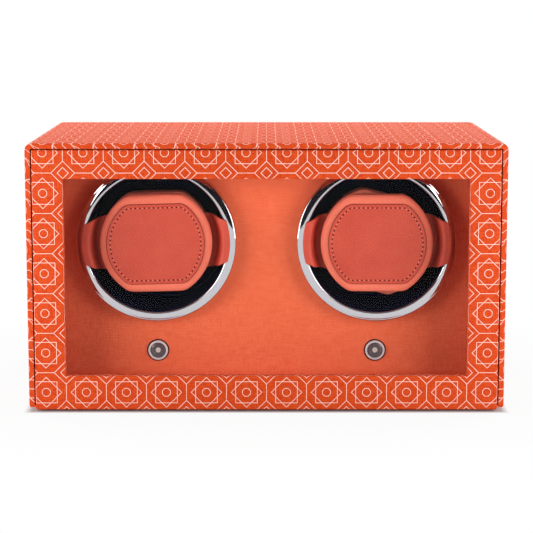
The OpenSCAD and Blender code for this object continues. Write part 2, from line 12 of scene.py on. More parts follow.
import bmesh
import bpy
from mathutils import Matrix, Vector


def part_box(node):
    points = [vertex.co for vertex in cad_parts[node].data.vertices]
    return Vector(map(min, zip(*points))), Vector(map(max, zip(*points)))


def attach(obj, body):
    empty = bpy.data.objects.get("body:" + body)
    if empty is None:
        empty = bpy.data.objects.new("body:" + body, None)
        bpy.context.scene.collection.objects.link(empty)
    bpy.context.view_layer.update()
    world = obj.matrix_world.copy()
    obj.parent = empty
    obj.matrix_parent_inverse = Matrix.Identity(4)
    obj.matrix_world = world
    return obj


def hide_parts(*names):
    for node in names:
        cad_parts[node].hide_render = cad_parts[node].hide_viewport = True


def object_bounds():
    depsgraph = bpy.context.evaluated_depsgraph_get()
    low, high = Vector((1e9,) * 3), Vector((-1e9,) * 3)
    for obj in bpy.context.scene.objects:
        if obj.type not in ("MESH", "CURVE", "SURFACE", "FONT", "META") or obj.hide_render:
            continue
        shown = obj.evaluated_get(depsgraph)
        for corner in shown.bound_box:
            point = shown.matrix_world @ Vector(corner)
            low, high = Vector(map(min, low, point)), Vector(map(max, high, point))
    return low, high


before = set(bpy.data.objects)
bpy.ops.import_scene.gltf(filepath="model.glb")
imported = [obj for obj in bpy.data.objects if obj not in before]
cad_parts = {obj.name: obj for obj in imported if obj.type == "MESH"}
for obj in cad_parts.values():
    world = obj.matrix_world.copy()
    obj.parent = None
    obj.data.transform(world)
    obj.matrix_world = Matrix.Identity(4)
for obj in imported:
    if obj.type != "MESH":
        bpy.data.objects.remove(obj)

CAD_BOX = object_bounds()
MM = 0.001
TINY = 0.01 * MM
LOG = logging.getLogger("winder")
NODES: dict[str, bpy.types.Object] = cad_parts

Colour = tuple[float, float, float]
Spot = tuple[float, float, float]
Pair = tuple[float, float]
Term = Union["Value", float, Colour]


def tone(red: float, green: float, blue: float) -> Colour:
    """Linear colour of a paint swatch.

    Args:
        red: Red part on the usual 0 to 255 scale.
        green: Green part.
        blue: Blue part.

    Returns:
        The linear colour.
    """

    def linear(part: float) -> float:
        """One part of the swatch."""
        share = part / 255
        return share / 12.92 if share <= 0.04045 else ((share + 0.055) / 1.055) ** 2.4

    return linear(red), linear(green), linear(blue)


# ---------- shader maths ----------


class Value:
    """A shader socket that takes part in Python sums."""

    def __init__(self, shader: "Shader", socket: bpy.types.NodeSocket) -> None:
        """Keeps the socket and the shader that it belongs to."""
        self.shader = shader
        self.socket = socket

    def _sum(self, operation: str, *terms: Term) -> "Value":
        """A Math node on the terms."""
        return self.shader.read("ShaderNodeMath", {"operation": operation}, dict(enumerate(terms)))

    def __add__(self, other: Term) -> "Value":
        """self + other."""
        return self._sum("ADD", self, other)

    __radd__ = __add__

    def __mul__(self, other: Term) -> "Value":
        """self * other."""
        return self._sum("MULTIPLY", self, other)

    __rmul__ = __mul__

    def __sub__(self, other: Term) -> "Value":
        """self - other."""
        return self._sum("SUBTRACT", self, other)

    def __rsub__(self, other: Term) -> "Value":
        """other - self."""
        return self._sum("SUBTRACT", other, self)

    def __truediv__(self, other: Term) -> "Value":
        """self / other."""
        return self._sum("DIVIDE", self, other)

    def __abs__(self) -> "Value":
        """Size of self without its sign."""
        return self._sum("ABSOLUTE", self)

    def fract(self) -> "Value":
        """What is left of self over its whole number."""
        return self._sum("FRACT", self)

    def most(self, other: Term) -> "Value":
        """The larger of self and other."""
        return self._sum("MAXIMUM", self, other)

    def step(self, start: float, end: float) -> "Value":
        """A smooth rise from 0 to 1.

        Args:
            start: Where the rise is 0.
            end: Where the rise is 1. It may be the smaller one.

        Returns:
            The rise.
        """
        return self.shader.read(
            "ShaderNodeMapRange",
            {"interpolation_type": "SMOOTHSTEP"},
            {"Value": self, "From Min": start, "From Max": end},
        )


class Shader:
    """One material and the nodes that make it."""

    def __init__(self, name: str) -> None:
        """Starts an empty material.

        Args:
            name: Name of the material.
        """
        self.material = bpy.data.materials.new(name)
        self.material.use_nodes = True
        self.tree = self.material.node_tree
        self.tree.nodes.clear()
        self.output = self.tree.nodes.new("ShaderNodeOutputMaterial")

    def node(self, kind: str, settings: dict | None = None, inputs: dict | None = None) -> bpy.types.Node:
        """Adds a node.

        Args:
            kind: Type of the node.
            settings: Its options, set first. "stops" holds the stops of a ramp.
            inputs: Values or links of its sockets, by name or number.

        Returns:
            The new node.
        """
        made = self.tree.nodes.new(kind)
        for key, setting in (settings or {}).items():
            if key == "stops":
                ramp = made.color_ramp.elements
                while len(ramp) < len(setting):
                    ramp.new(0.5)
                for stop, (place, colour) in zip(ramp, setting):
                    stop.position = place
                    stop.color = (*colour, 1)
            else:
                setattr(made, key, setting)
        for key, term in (inputs or {}).items():
            socket = made.inputs[key]
            if isinstance(term, Value):
                self.tree.links.new(term.socket, socket)
            elif isinstance(term, tuple) and len(socket.default_value) == 4:
                socket.default_value = (*term, 1)
            else:
                socket.default_value = term
        return made

    def read(
        self, kind: str, settings: dict | None = None, inputs: dict | None = None, output: int | str = 0
    ) -> Value:
        """Adds a node and gives one of its outputs.

        Args:
            kind: Type of the node.
            settings: Its options.
            inputs: Values or links of its sockets.
            output: Name or number of the output.

        Returns:
            The output, ready for sums.
        """
        return Value(self, self.node(kind, settings, inputs).outputs[output])

    def place(self, stretch: Spot = (1, 1, 1), shift: Spot = (0, 0, 0), uv: str = "") -> Value:
        """Coordinates of the surface.

        Args:
            stretch: Scale along each axis.
            shift: Move after the scale.
            uv: Name of the UV map, or nothing for the object's own axes.

        Returns:
            The vector.
        """
        if uv:
            start = self.read("ShaderNodeUVMap", {"uv_map": uv})
        else:
            start = self.read("ShaderNodeTexCoord", output="Object")
        return self.read("ShaderNodeMapping", {}, {"Vector": start, "Scale": stretch, "Location": shift})

    def noise(self, where: Value, scale: float = 1.0, detail: float = 2.0, rough: float = 0.5) -> Value:
        """Cloudy noise between 0 and 1.

        Args:
            where: Coordinates that the noise lies on.
            scale: How fine it is. A larger number gives smaller clouds.
            detail: Number of finer layers.
            rough: How strong each finer layer is.

        Returns:
            The noise.
        """
        return self.read(
            "ShaderNodeTexNoise", {}, {"Vector": where, "Scale": scale, "Detail": detail, "Roughness": rough}
        )

    def blend(self, share: Term, low: Term, high: Term) -> Value:
        """A colour between low and high.

        Args:
            share: How much of high is in it, 0 to 1.
            low: Colour at 0.
            high: Colour at 1.

        Returns:
            The blended colour.
        """
        return self.read(
            "ShaderNodeMix", {"data_type": "RGBA", "clamp_factor": True}, {0: share, 6: low, 7: high}, 2
        )

    def split(self, vector: Value) -> tuple[Value, Value, Value]:
        """The three parts of a vector."""
        parts = self.node("ShaderNodeSeparateXYZ", {}, {0: vector})
        return tuple(Value(self, parts.outputs[i]) for i in range(3))

    def bump(self, height: Value, depth: float, strength: float = 1.0) -> Value:
        """Normal of a surface with small relief.

        Args:
            height: Height of the relief.
            depth: Its depth in metres.
            strength: Share of its effect.

        Returns:
            The normal.
        """
        return self.read(
            "ShaderNodeBump", {}, {"Height": height, "Distance": depth, "Strength": strength}
        )

    def finish(self, **sockets: Term) -> bpy.types.Material:
        """Ends the material in a Principled shader.

        Args:
            **sockets: Values or links of its sockets. A name has _ for each space.

        Returns:
            The material.
        """
        inputs = {key.replace("_", " "): term for key, term in sockets.items()}
        shader = self.read("ShaderNodeBsdfPrincipled", {}, inputs)
        self.tree.links.new(shader.socket, self.output.inputs["Surface"])
        return self.material


# ---------- finishes ----------


@dataclass(frozen=True)
class Linen:
    """Leatherette embossed with a fine linen weave, plain or printed with a line lattice."""

    name: str
    colour: Colour
    shade: Colour
    thread: float = 0.55 * MM
    run: float = 5 * MM
    relief: float = 0.10 * MM
    rough: float = 0.62
    gloss: float = 0.3
    lattice: float = 0.0
    line: float = 0.17 * MM
    tile: float = 0.5
    star: float = 0.27
    between: float = 0.61
    rosette: float = 0.10
    ink: Colour = tone(250, 214, 200)
    uv: str = ""

    def weave(self, shader: Shader) -> Value:
        """Height of the threads: short streaks along each axis.

        Args:
            shader: Shader that the nodes go into.

        Returns:
            The height.
        """
        fine, slow = 1 / self.thread, 1 / self.run
        if self.uv:
            ways = [(slow, fine, 1), (fine, slow, 1)]
        else:
            ways = [(slow, fine, fine), (fine, slow, fine), (fine, fine, slow)]
        total = 0.0
        for number, stretch in enumerate(ways):
            spot = shader.place(stretch, (number * 7.3, number * 3.1, 0), self.uv)
            total = shader.noise(spot, 1, 1.5, 0.6) + total
        return total / len(ways)

    def print_mask(self, shader: Shader) -> Value:
        """Where the ink lies: eight-point stars in octagons, with small squares between.

        Args:
            shader: Shader that the nodes go into.

        Returns:
            1 where ink lies, 0 between.
        """
        across, up, _ = shader.split(shader.place((1 / self.lattice, 1 / self.lattice, 1), uv=self.uv))
        x = abs(across.fract() - 0.5)
        y = abs(up.fract() - 0.5)
        square = x.most(y)
        diamond = (x + y) / math.sqrt(2)
        octagon = square.most(diamond)
        half = self.line / self.lattice
        lines = (
            (octagon, self.tile),
            (square, self.star),
            (diamond, self.star),
            (diamond, self.between),
            (octagon, self.rosette),
        )
        mask = 0.0
        for form, size in lines:
            mask = abs(form - size).step(half * 1.6, half * 0.4).most(mask)
        return mask

    def make(self) -> bpy.types.Material:
        """Builds the material.

        Returns:
            The material.
        """
        shader = Shader(self.name)
        weave = self.weave(shader)
        cloud = shader.noise(shader.place((1, 1, 1), uv=self.uv), 28, 3)
        base = shader.blend(weave.step(0.36, 0.62), self.shade, self.colour)
        base = shader.blend(cloud.step(0.35, 0.75) * 0.22, base, self.shade)
        height = weave
        rough = self.rough + (0.5 - weave) * 0.25
        if self.lattice:
            ink = self.print_mask(shader) * weave.step(0.30, 0.46).most(0.65)
            base = shader.blend(ink, base, self.ink)
            height = weave + ink * 0.08
        return shader.finish(
            Base_Color=base,
            Roughness=rough,
            Normal=shader.bump(height, self.relief),
            Specular_IOR_Level=self.gloss,
        )


@dataclass(frozen=True)
class Suede:
    """Brushed microfibre with a short nap."""

    name: str
    colour: Colour
    shade: Colour
    nap: float = 0.35 * MM
    relief: float = 0.05 * MM

    def make(self) -> bpy.types.Material:
        """Builds the material.

        Returns:
            The material.
        """
        shader = Shader(self.name)
        where = shader.place()
        fibre = shader.noise(where, 1 / self.nap, 3, 0.7)
        brushed = shader.noise(where, 55, 4, 0.6)
        base = shader.blend(fibre.step(0.3, 0.7), self.shade, self.colour)
        base = shader.blend(brushed.step(0.42, 0.72) * 0.35, base, self.shade)
        return shader.finish(
            Base_Color=base,
            Roughness=0.85 + (fibre - 0.5) * 0.2,
            Normal=shader.bump(fibre + brushed * 0.6, self.relief),
            Sheen_Weight=0.12,
            Sheen_Roughness=0.5,
            Sheen_Tint=self.colour,
            Specular_IOR_Level=0.2,
        )


@dataclass(frozen=True)
class Leather:
    """Smooth leather with fine grain."""

    name: str
    colour: Colour
    shade: Colour
    grain: float = 0.9 * MM
    relief: float = 0.04 * MM
    rough: float = 0.5

    def make(self) -> bpy.types.Material:
        """Builds the material.

        Returns:
            The material.
        """
        shader = Shader(self.name)
        where = shader.place()
        cells = shader.read(
            "ShaderNodeTexVoronoi",
            {"feature": "DISTANCE_TO_EDGE"},
            {"Vector": where, "Scale": 1 / self.grain},
        )
        crease = cells.step(0.0, 0.18)
        cloud = shader.noise(where, 70, 4, 0.6)
        base = shader.blend(crease * 0.5 + cloud.step(0.3, 0.7) * 0.5, self.shade, self.colour)
        return shader.finish(
            Base_Color=base,
            Roughness=self.rough + (cloud - 0.5) * 0.25,
            Normal=shader.bump(crease * 0.6 + cloud, self.relief),
            Specular_IOR_Level=0.4,
        )


@dataclass(frozen=True)
class Metal:
    """Plated, turned or drawn metal."""

    name: str
    colour: Colour
    rough: float = 0.06
    streak: float = 0.0

    def make(self) -> bpy.types.Material:
        """Builds the material, with smears on plate or turning marks on bare metal.

        Returns:
            The material.
        """
        shader = Shader(self.name)
        smear = shader.noise(shader.place(), 90, 4, 0.6)
        rough = self.rough + smear.step(0.45, 0.8) * self.rough * 0.8
        base = shader.blend(smear.step(0.35, 0.8) * 0.12, self.colour, tuple(c * 0.7 for c in self.colour))
        sockets: dict[str, Term] = {}
        if self.streak:
            marks = shader.noise(shader.place((120, 4200, 120)), 1, 2, 0.6)
            rough = rough + marks * self.streak
            sockets["Normal"] = shader.bump(marks, 0.01 * MM, 0.6)
        return shader.finish(Base_Color=base, Metallic=1.0, Roughness=rough, **sockets)


@dataclass(frozen=True)
class Moulded:
    """Plastic, rubber or lacquer."""

    name: str
    colour: Colour
    rough: float = 0.4
    texture: float = 0.4 * MM
    relief: float = 0.01 * MM
    gloss: float = 0.5
    coat: float = 0.0

    def make(self) -> bpy.types.Material:
        """Builds the material.

        Returns:
            The material.
        """
        shader = Shader(self.name)
        where = shader.place()
        spark = shader.noise(where, 1 / self.texture, 2, 0.6)
        cloud = shader.noise(where, 45, 3)
        dim = tuple(c * 0.75 for c in self.colour)
        base = shader.blend(cloud.step(0.4, 0.8) * 0.6, self.colour, dim)
        return shader.finish(
            Base_Color=base,
            Roughness=self.rough * (0.85 + spark * 0.3),
            Normal=shader.bump(spark, self.relief),
            Specular_IOR_Level=self.gloss,
            Coat_Weight=self.coat,
            Coat_Roughness=0.04,
        )


@dataclass(frozen=True)
class Board:
    """Printed circuit board: solder mask over straight tracks, with bright pads."""

    name: str
    colour: Colour
    track: Colour
    pitch: float = 3.2 * MM

    def make(self) -> bpy.types.Material:
        """Builds the material.

        Returns:
            The material.
        """
        shader = Shader(self.name)
        x, _, z = shader.split(shader.place((1 / self.pitch, 1, 1 / self.pitch)))
        jog = shader.noise(shader.place((90, 1, 90)), 1, 0).step(0.45, 0.55) * 0.5
        line = abs((x + jog).fract() - 0.5).step(0.16, 0.10)
        pad = (abs(x.fract() - 0.5).most(abs(z.fract() - 0.5))).step(0.12, 0.08)
        base = shader.blend(line, self.colour, tuple(c * 1.7 for c in self.colour))
        base = shader.blend(pad, base, self.track)
        return shader.finish(Base_Color=base, Metallic=pad, Roughness=0.45 - pad * 0.15)


@dataclass(frozen=True)
class Pane:
    """Thin coated glass: clear from the front, a mirror at a glancing angle from either side."""

    name: str
    least: float = 0.004
    most: float = 0.8

    def make(self) -> bpy.types.Material:
        """Builds the material.

        Returns:
            The material.
        """
        shader = Shader(self.name)
        glance = shader.read("ShaderNodeLayerWeight", {}, {"Blend": 0.5}, "Facing")
        square = glance * glance
        haze = shader.noise(shader.place(), 14, 3).step(0.3, 0.9)
        return shader.finish(
            Base_Color=(0.95, 0.98, 0.97),
            Metallic=1.0,
            Roughness=0.02 + haze * 0.02,
            Alpha=square * square * glance * self.most + self.least,
        )


@dataclass
class Finishes:
    """Every finish of the box, made once."""

    wrap: bpy.types.Material = field(init=False)
    lining: bpy.types.Material = field(init=False)
    suede: bpy.types.Material = field(init=False)
    patch: bpy.types.Material = field(init=False)
    paint: bpy.types.Material = field(init=False)
    ring: bpy.types.Material = field(init=False)
    washer: bpy.types.Material = field(init=False)
    wing: bpy.types.Material = field(init=False)
    thread: bpy.types.Material = field(init=False)
    hole_shade: bpy.types.Material = field(init=False)
    chrome: bpy.types.Material = field(init=False)
    steel: bpy.types.Material = field(init=False)
    motor: bpy.types.Material = field(init=False)
    bronze: bpy.types.Material = field(init=False)
    lacquer: bpy.types.Material = field(init=False)
    black: bpy.types.Material = field(init=False)
    rubber: bpy.types.Material = field(init=False)
    nylon: bpy.types.Material = field(init=False)
    smoke: bpy.types.Material = field(init=False)
    lamp: bpy.types.Material = field(init=False)
    circuit: bpy.types.Material = field(init=False)
    glass: bpy.types.Material = field(init=False)

    def __post_init__(self) -> None:
        """Makes the materials."""
        orange = tone(219, 81, 27)
        self.wrap = Linen(
            "printed_linen", orange, tone(199, 57, 13), lattice=23 * MM, uv="wrap", rough=0.7, gloss=0.16
        ).make()
        self.lining = Linen(
            "lining_linen",
            tone(244, 122, 83),
            tone(232, 101, 63),
            thread=0.6 * MM,
            run=8 * MM,
            relief=0.10 * MM,
            rough=0.85,
            gloss=0.04,
        ).make()
        self.suede = Suede("suede", tone(250, 138, 112), tone(234, 112, 86)).make()
        self.patch = Leather("patch_leather", tone(208, 80, 54), tone(192, 62, 43)).make()
        # Dark patch edge: edge paint, deepened as painted shade of the groove round the patch.
        self.paint = Moulded("edge_paint", tone(158, 44, 34), rough=0.6).make()
        self.wing = Leather("wing_leather", tone(212, 78, 54), tone(194, 64, 44)).make()
        self.thread = Leather("thread", tone(244, 140, 116), tone(222, 108, 86), grain=0.25 * MM).make()
        self.ring = Moulded("satin_ring", (0.74, 0.70, 0.72), rough=0.25, coat=0.6).make()
        # Dark ring round each button bezel: painted shadow of the gap between bezel and faceplate.
        self.washer = Moulded("dark_washer", tone(58, 14, 18), rough=0.7, gloss=0.1).make()
        # Dark red beads in the needle holes of the seam: painted shade in the holes.
        self.hole_shade = Moulded("stitch_hole", tone(92, 14, 14), rough=0.9, gloss=0.03).make()
        self.chrome = Metal("chrome", (0.58, 0.57, 0.60), rough=0.04).make()
        self.steel = Metal("steel", (0.62, 0.63, 0.65), rough=0.25, streak=0.15).make()
        self.motor = Metal("motor_can", (0.55, 0.56, 0.57), rough=0.32, streak=0.1).make()
        self.bronze = Metal("bronze", (0.66, 0.45, 0.22), rough=0.3, streak=0.12).make()
        self.lacquer = Moulded("drum_lacquer", (0.004, 0.006, 0.028), rough=0.12, gloss=0.12).make()
        self.black = Moulded("black_plastic", (0.012, 0.012, 0.014), rough=0.45, relief=0.02 * MM).make()
        self.rubber = Moulded("rubber", (0.02, 0.02, 0.02), rough=0.8, relief=0.03 * MM).make()
        self.nylon = Moulded("nylon", (0.80, 0.78, 0.70), rough=0.5).make()
        self.smoke = Moulded("smoke_plastic", tone(96, 90, 92), rough=0.22, coat=0.4).make()
        # Pale lens in the middle of each button cap: the lamp's lens, lightened as a painted highlight of the
        # convex lens.
        self.lamp = Moulded("lamp_resin", tone(214, 208, 202), rough=0.25, coat=0.5).make()
        self.circuit = Board("circuit_board", tone(12, 84, 52), (0.80, 0.78, 0.70)).make()
        self.glass = Pane("window_glass").make()


# ---------- mesh making ----------


def piece_of(
    name: str,
    points: list,
    faces: list,
    materials: list[bpy.types.Material],
    sharp: float = 40,
) -> bpy.types.Object:
    """Makes an object from points and faces.

    Args:
        name: Name of the piece.
        points: Corners, in the frame's axes.
        faces: Corner numbers of each face.
        materials: The piece's materials, in slot order.
        sharp: Edges that turn more than this many degrees stay sharp.

    Returns:
        The new object.
    """
    mesh = bpy.data.meshes.new(name)
    mesh.from_pydata([tuple(p) for p in points], [], faces)
    made = bpy.data.objects.new(name, mesh)
    bpy.context.scene.collection.objects.link(made)
    for material in materials:
        mesh.materials.append(material)
    tidy_mesh(made, sharp)
    return made


def tidy_mesh(piece: bpy.types.Object, sharp: float = 40, merge: float = 1e-6) -> None:
    """Merges doubles, turns faces outwards and sets smooth shading with sharp edges.

    Args:
        piece: The piece, which is changed.
        sharp: Edges that turn more than this many degrees stay sharp.
        merge: Points closer than this become one.
    """
    work = bmesh.new()
    work.from_mesh(piece.data)
    bmesh.ops.remove_doubles(work, verts=work.verts, dist=merge)
    bmesh.ops.recalc_face_normals(work, faces=work.faces)
    work.to_mesh(piece.data)
    work.free()
    piece.data.shade_smooth()
    piece.data.set_sharp_from_angle(angle=math.radians(sharp))


def settle(piece: bpy.types.Object) -> None:
    """Makes what the piece's modifiers give its plain mesh, and removes the modifiers.

    Args:
        piece: The piece, which is changed.
    """
    bpy.context.view_layer.update()
    ready = piece.evaluated_get(bpy.context.evaluated_depsgraph_get())
    mesh = bpy.data.meshes.new_from_object(ready)
    old = piece.data
    piece.modifiers.clear()
    piece.data = mesh
    mesh.name = piece.name
    bpy.data.meshes.remove(old)


def joined(name: str, parts: list[bpy.types.Object]) -> bpy.types.Object:
    """Joins parts into the first one.

    Args:
        name: Name of the joined piece.
        parts: The parts, which are used up apart from the first.

    Returns:
        The joined piece.
    """
    with bpy.context.temp_override(active_object=parts[0], selected_editable_objects=parts):
        bpy.ops.object.join()
    parts[0].name = parts[0].data.name = name
    return parts[0]


def arc(centre: Pair, radius: float, start: float, end: float, count: int) -> list[Pair]:
    """Points of an arc without its last one.

    Args:
        centre: Its middle.
        radius: Its radius.
        start: Angle of its first point, in radians.
        end: Angle of its last point, in radians.
        count: Number of steps.

    Returns:
        The points.
    """
    return [
        (
            centre[0] + radius * math.cos(start + (end - start) * i / count),
            centre[1] + radius * math.sin(start + (end - start) * i / count),
        )
        for i in range(count)
    ]


def turned(
    name: str,
    profile: list[Pair],
    axis: Pair,
    materials: list[bpy.types.Material],
    count: int = 96,
    sharp: float = 40,
    upright: bool = False,
    material_of: Callable[[float, float], int] | None = None,
) -> bpy.types.Object:
    """Turns a closed profile round a line along Y, or along Z where it stands upright.

    Args:
        name: Name of the piece.
        profile: Corners as (radius, place along the line), closed by itself. A radius of 0 lies on the axis.
        axis: The line's x and z, or its x and y where it stands upright.
        materials: The piece's materials.
        count: Steps round the axis.
        sharp: Edges that turn more than this many degrees stay sharp.
        upright: Whether the line is along Z.
        material_of: Gives the slot of a face from its middle radius and its place along the line.

    Returns:
        The new object.
    """
    points, faces = [], []
    size = len(profile)
    centred = [radius < TINY for radius, _ in profile]
    for step in range(count):
        angle = 2 * math.pi * step / count
        for radius, along in profile:
            a, b = axis[0] + radius * math.cos(angle), axis[1] + radius * math.sin(angle)
            points.append((a, b, along) if upright else (a, along, b))
    for step in range(count):
        here, there = step * size, (step + 1) % count * size
        for i in range(size):
            j = (i + 1) % size
            corners = [here + i, here + j, there + j, there + i]
            if centred[i] and centred[j]:
                continue
            if centred[i]:
                corners = [here + i, here + j, there + j]
            elif centred[j]:
                corners = [here + i, here + j, there + i]
            faces.append(corners)
    made = piece_of(name, points, faces, materials, sharp)
    if material_of:
        for face in made.data.polygons:
            middle = face.center
            across, along = (middle.y, middle.z) if upright else (middle.z, middle.y)
            radius = math.hypot(middle.x - axis[0], across - axis[1])
            face.material_index = material_of(radius, along)
    return made


def rounded(profile: list[Pair], radii: dict[int, float], count: int = 4) -> list[Pair]:
    """Rounds corners of a closed profile.

    Args:
        profile: Corners of the outline.
        radii: Radius by corner number.
        count: Steps of each rounding.

    Returns:
        The new outline.
    """
    result = []
    for i, corner in enumerate(profile):
        radius = radii.get(i, 0)
        if not radius:
            result.append(corner)
            continue
        here = Vector(corner)
        back = (Vector(profile[i - 1]) - here).normalized()
        ahead = (Vector(profile[(i + 1) % len(profile)]) - here).normalized()
        half = back.angle(ahead) / 2
        reach = radius / math.tan(half)
        middle = here + (back + ahead).normalized() * (radius / math.sin(half))
        start, end = here + back * reach - middle, here + ahead * reach - middle
        first = math.atan2(start.y, start.x)
        sweep = math.remainder(math.atan2(end.y, end.x) - first, 2 * math.pi)
        result += arc(tuple(middle), radius, first, first + sweep, count)
        result.append(tuple(middle + end))
    return result


def cut_disc(radius: float, flat: float, corner: float, fine: int = 10) -> list[Pair]:
    """Outline of a disc with a flat above and below.

    Args:
        radius: Radius of the round sides.
        flat: Half height between the flats.
        corner: Radius where a flat meets a side.
        fine: Steps of each arc.

    Returns:
        The outline as x and z, anticlockwise from the right.
    """
    corner_z = flat - corner
    corner_x = math.sqrt((radius - corner) ** 2 - corner_z**2)
    turn = math.atan2(corner_z, corner_x)
    quarter, half = math.pi / 2, math.pi
    flat_run = [(corner_x - 2 * corner_x * i / fine, flat) for i in range(fine)]
    upper = (
        arc((0, 0), radius, -turn, turn, fine * 2)
        + arc((corner_x, corner_z), corner, turn, quarter, fine)
        + flat_run
        + arc((-corner_x, corner_z), corner, quarter, half - turn, fine)
    )
    return upper + [(-x, -z) for x, z in upper]


def band(first: int, second: int, count: int) -> list[list[int]]:
    """Four-sided faces between two closed rings of points.

    Args:
        first: Number of the first ring's first point.
        second: Number of the second ring's first point.
        count: Points in each ring.

    Returns:
        Corner numbers of each face.
    """
    return [
        [first + i, first + (i + 1) % count, second + (i + 1) % count, second + i] for i in range(count)
    ]


def filled(outlines: list[list[Pair]], across: Callable[[float, float], tuple]) -> bmesh.types.BMesh:
    """A flat sheet inside the first outline and outside the others.

    Args:
        outlines: Closed outlines, each as pairs.
        across: Gives the place of a pair.

    Returns:
        The sheet, which the caller frees.
    """
    work = bmesh.new()
    edges = []
    for outline in outlines:
        corners = [work.verts.new(across(*pair)) for pair in outline]
        edges += [work.edges.new((corners[i - 1], corners[i])) for i in range(len(corners))]
    bmesh.ops.triangle_fill(work, edges=edges, use_beauty=True)
    return work


def prism(
    name: str, outline: list[Pair], start: float, end: float, materials: list[bpy.types.Material]
) -> bpy.types.Object:
    """A closed outline drawn out along y.

    Args:
        name: Name of the piece.
        outline: Its outline as x and z.
        start: The y of one end.
        end: The y of the other end.
        materials: The piece's materials.

    Returns:
        The new object.
    """
    count = len(outline)
    points = [(x, y, z) for y in (start, end) for x, z in outline]
    faces = band(0, count, count) + [list(range(count)), list(range(count, 2 * count))]
    return piece_of(name, points, faces, materials)


class GrowTree:
    """A Geometry Nodes tree that is built in code and run once on a small start mesh."""

    def __init__(self, name: str, inputs: dict[str, str]) -> None:
        """Starts a tree.

        Args:
            name: Name of the tree.
            inputs: Kind of socket of each named input.
        """
        self.tree = bpy.data.node_groups.new(name, "GeometryNodeTree")
        face = self.tree.interface
        face.new_socket("Geometry", in_out="INPUT", socket_type="NodeSocketGeometry")
        self.keys = {
            title: face.new_socket(title, in_out="INPUT", socket_type=kind).identifier
            for title, kind in inputs.items()
        }
        face.new_socket("Geometry", in_out="OUTPUT", socket_type="NodeSocketGeometry")
        self.start = self.tree.nodes.new("NodeGroupInput")
        self.end = self.tree.nodes.new("NodeGroupOutput")

    def given(self, title: str = "Geometry") -> bpy.types.NodeSocket:
        """A named input of the tree."""
        return self.start.outputs[title]

    def node(
        self, kind: str, settings: dict | None = None, inputs: dict | None = None, output: int | str = 0
    ) -> bpy.types.NodeSocket:
        """Adds a node.

        Args:
            kind: Type of the node.
            settings: Its options, set first.
            inputs: Values or links of its sockets, by name or number.
            output: Name or number of the output to give back.

        Returns:
            That output.
        """
        made = self.tree.nodes.new(kind)
        for key, setting in (settings or {}).items():
            setattr(made, key, setting)
        for key, term in (inputs or {}).items():
            if isinstance(term, bpy.types.NodeSocket):
                self.tree.links.new(term, made.inputs[key])
            else:
                made.inputs[key].default_value = term
        return made.outputs[output]

    def close(self, shape: bpy.types.NodeSocket, material: bpy.types.NodeSocket) -> None:
        """Realizes the instances, sets the material and ends the tree.

        Args:
            shape: Geometry that the tree has made.
            material: Socket that gives its finish.
        """
        real = self.node("GeometryNodeRealizeInstances", {}, {0: shape})
        dressed = self.node("GeometryNodeSetMaterial", {}, {"Geometry": real, "Material": material})
        self.tree.links.new(dressed, self.end.inputs[0])

    def grow(self, name: str, points: list, edges: list, values: dict) -> bpy.types.Object:
        """Runs the tree on points and edges.

        Args:
            name: Name of the piece.
            points: Places of the start mesh.
            edges: Its edges, as pairs of point numbers.
            values: Value of each named input.

        Returns:
            The piece as a plain mesh.
        """
        mesh = bpy.data.meshes.new(name)
        mesh.from_pydata([tuple(p) for p in points], edges, [])
        made = bpy.data.objects.new(name, mesh)
        bpy.context.scene.collection.objects.link(made)
        modifier = made.modifiers.new("Grow", "NODES")
        modifier.node_group = self.tree
        for title, value in values.items():
            modifier[self.keys[title]] = value
        settle(made)
        made.data.materials.clear()
        made.data.materials.append(values["Material"])
        made.data.polygons.foreach_set("material_index", [0] * len(made.data.polygons))
        return made


class StitchTree(GrowTree):
    """Small rounded bodies at even steps along a closed path, laid in its direction."""

    def __init__(self) -> None:
        """Builds the tree."""
        super().__init__(
            "stitch_row",
            {
                "Steps": "NodeSocketInt",
                "Phase": "NodeSocketInt",
                "Size": "NodeSocketVector",
                "Material": "NodeSocketMaterial",
            },
        )
        path = self.node("GeometryNodeMeshToCurve", {}, {"Mesh": self.given()})
        even = self.node("GeometryNodeResampleCurve", {}, {"Curve": path, "Count": self.given("Steps")})
        bead = self.node(
            "GeometryNodeMeshUVSphere", {}, {"Segments": 8, "Rings": 6, "Radius": 0.5}
        )
        smooth = self.node("GeometryNodeSetShadeSmooth", {}, {0: bead})
        tangent = self.node("GeometryNodeInputTangent")
        lay = self.node("FunctionNodeAlignRotationToVector", {"axis": "X"}, {"Vector": tangent})
        index = self.node("GeometryNodeInputIndex")
        place = self.node("ShaderNodeMath", {"operation": "ADD"}, {0: index, 1: self.given("Phase")})
        turn = self.node("ShaderNodeMath", {"operation": "MODULO"}, {0: place, 1: 2.0})
        row = self.node(
            "GeometryNodeInstanceOnPoints",
            {},
            {
                "Points": even,
                "Selection": turn,
                "Instance": smooth,
                "Rotation": lay,
                "Scale": self.given("Size"),
            },
        )
        self.close(row, self.given("Material"))


class PegTree(GrowTree):
    """Copies of one small shape on each point."""

    def __init__(self) -> None:
        """Builds the tree."""
        super().__init__("peg_board", {"Shape": "NodeSocketObject", "Material": "NodeSocketMaterial"})
        shape = self.node(
            "GeometryNodeObjectInfo",
            {"transform_space": "ORIGINAL"},
            {"Object": self.given("Shape")},
            "Geometry",
        )
        pegs = self.node("GeometryNodeInstanceOnPoints", {}, {"Points": self.given(), "Instance": shape})
        self.close(pegs, self.given("Material"))

    def plant(
        self, name: str, points: list, shape: bpy.types.Object, material: bpy.types.Material
    ) -> bpy.types.Object:
        """Copies the shape to every point, in one piece.

        Args:
            name: Name of the piece.
            points: Where the shape's own origin goes.
            shape: The shape, which is used up.
            material: Finish of the copies.

        Returns:
            The piece.
        """
        made = self.grow(name, points, [], {"Shape": shape, "Material": material})
        bpy.data.objects.remove(shape)
        made.data.shade_smooth()
        made.data.set_sharp_from_angle(angle=math.radians(40))
        return made


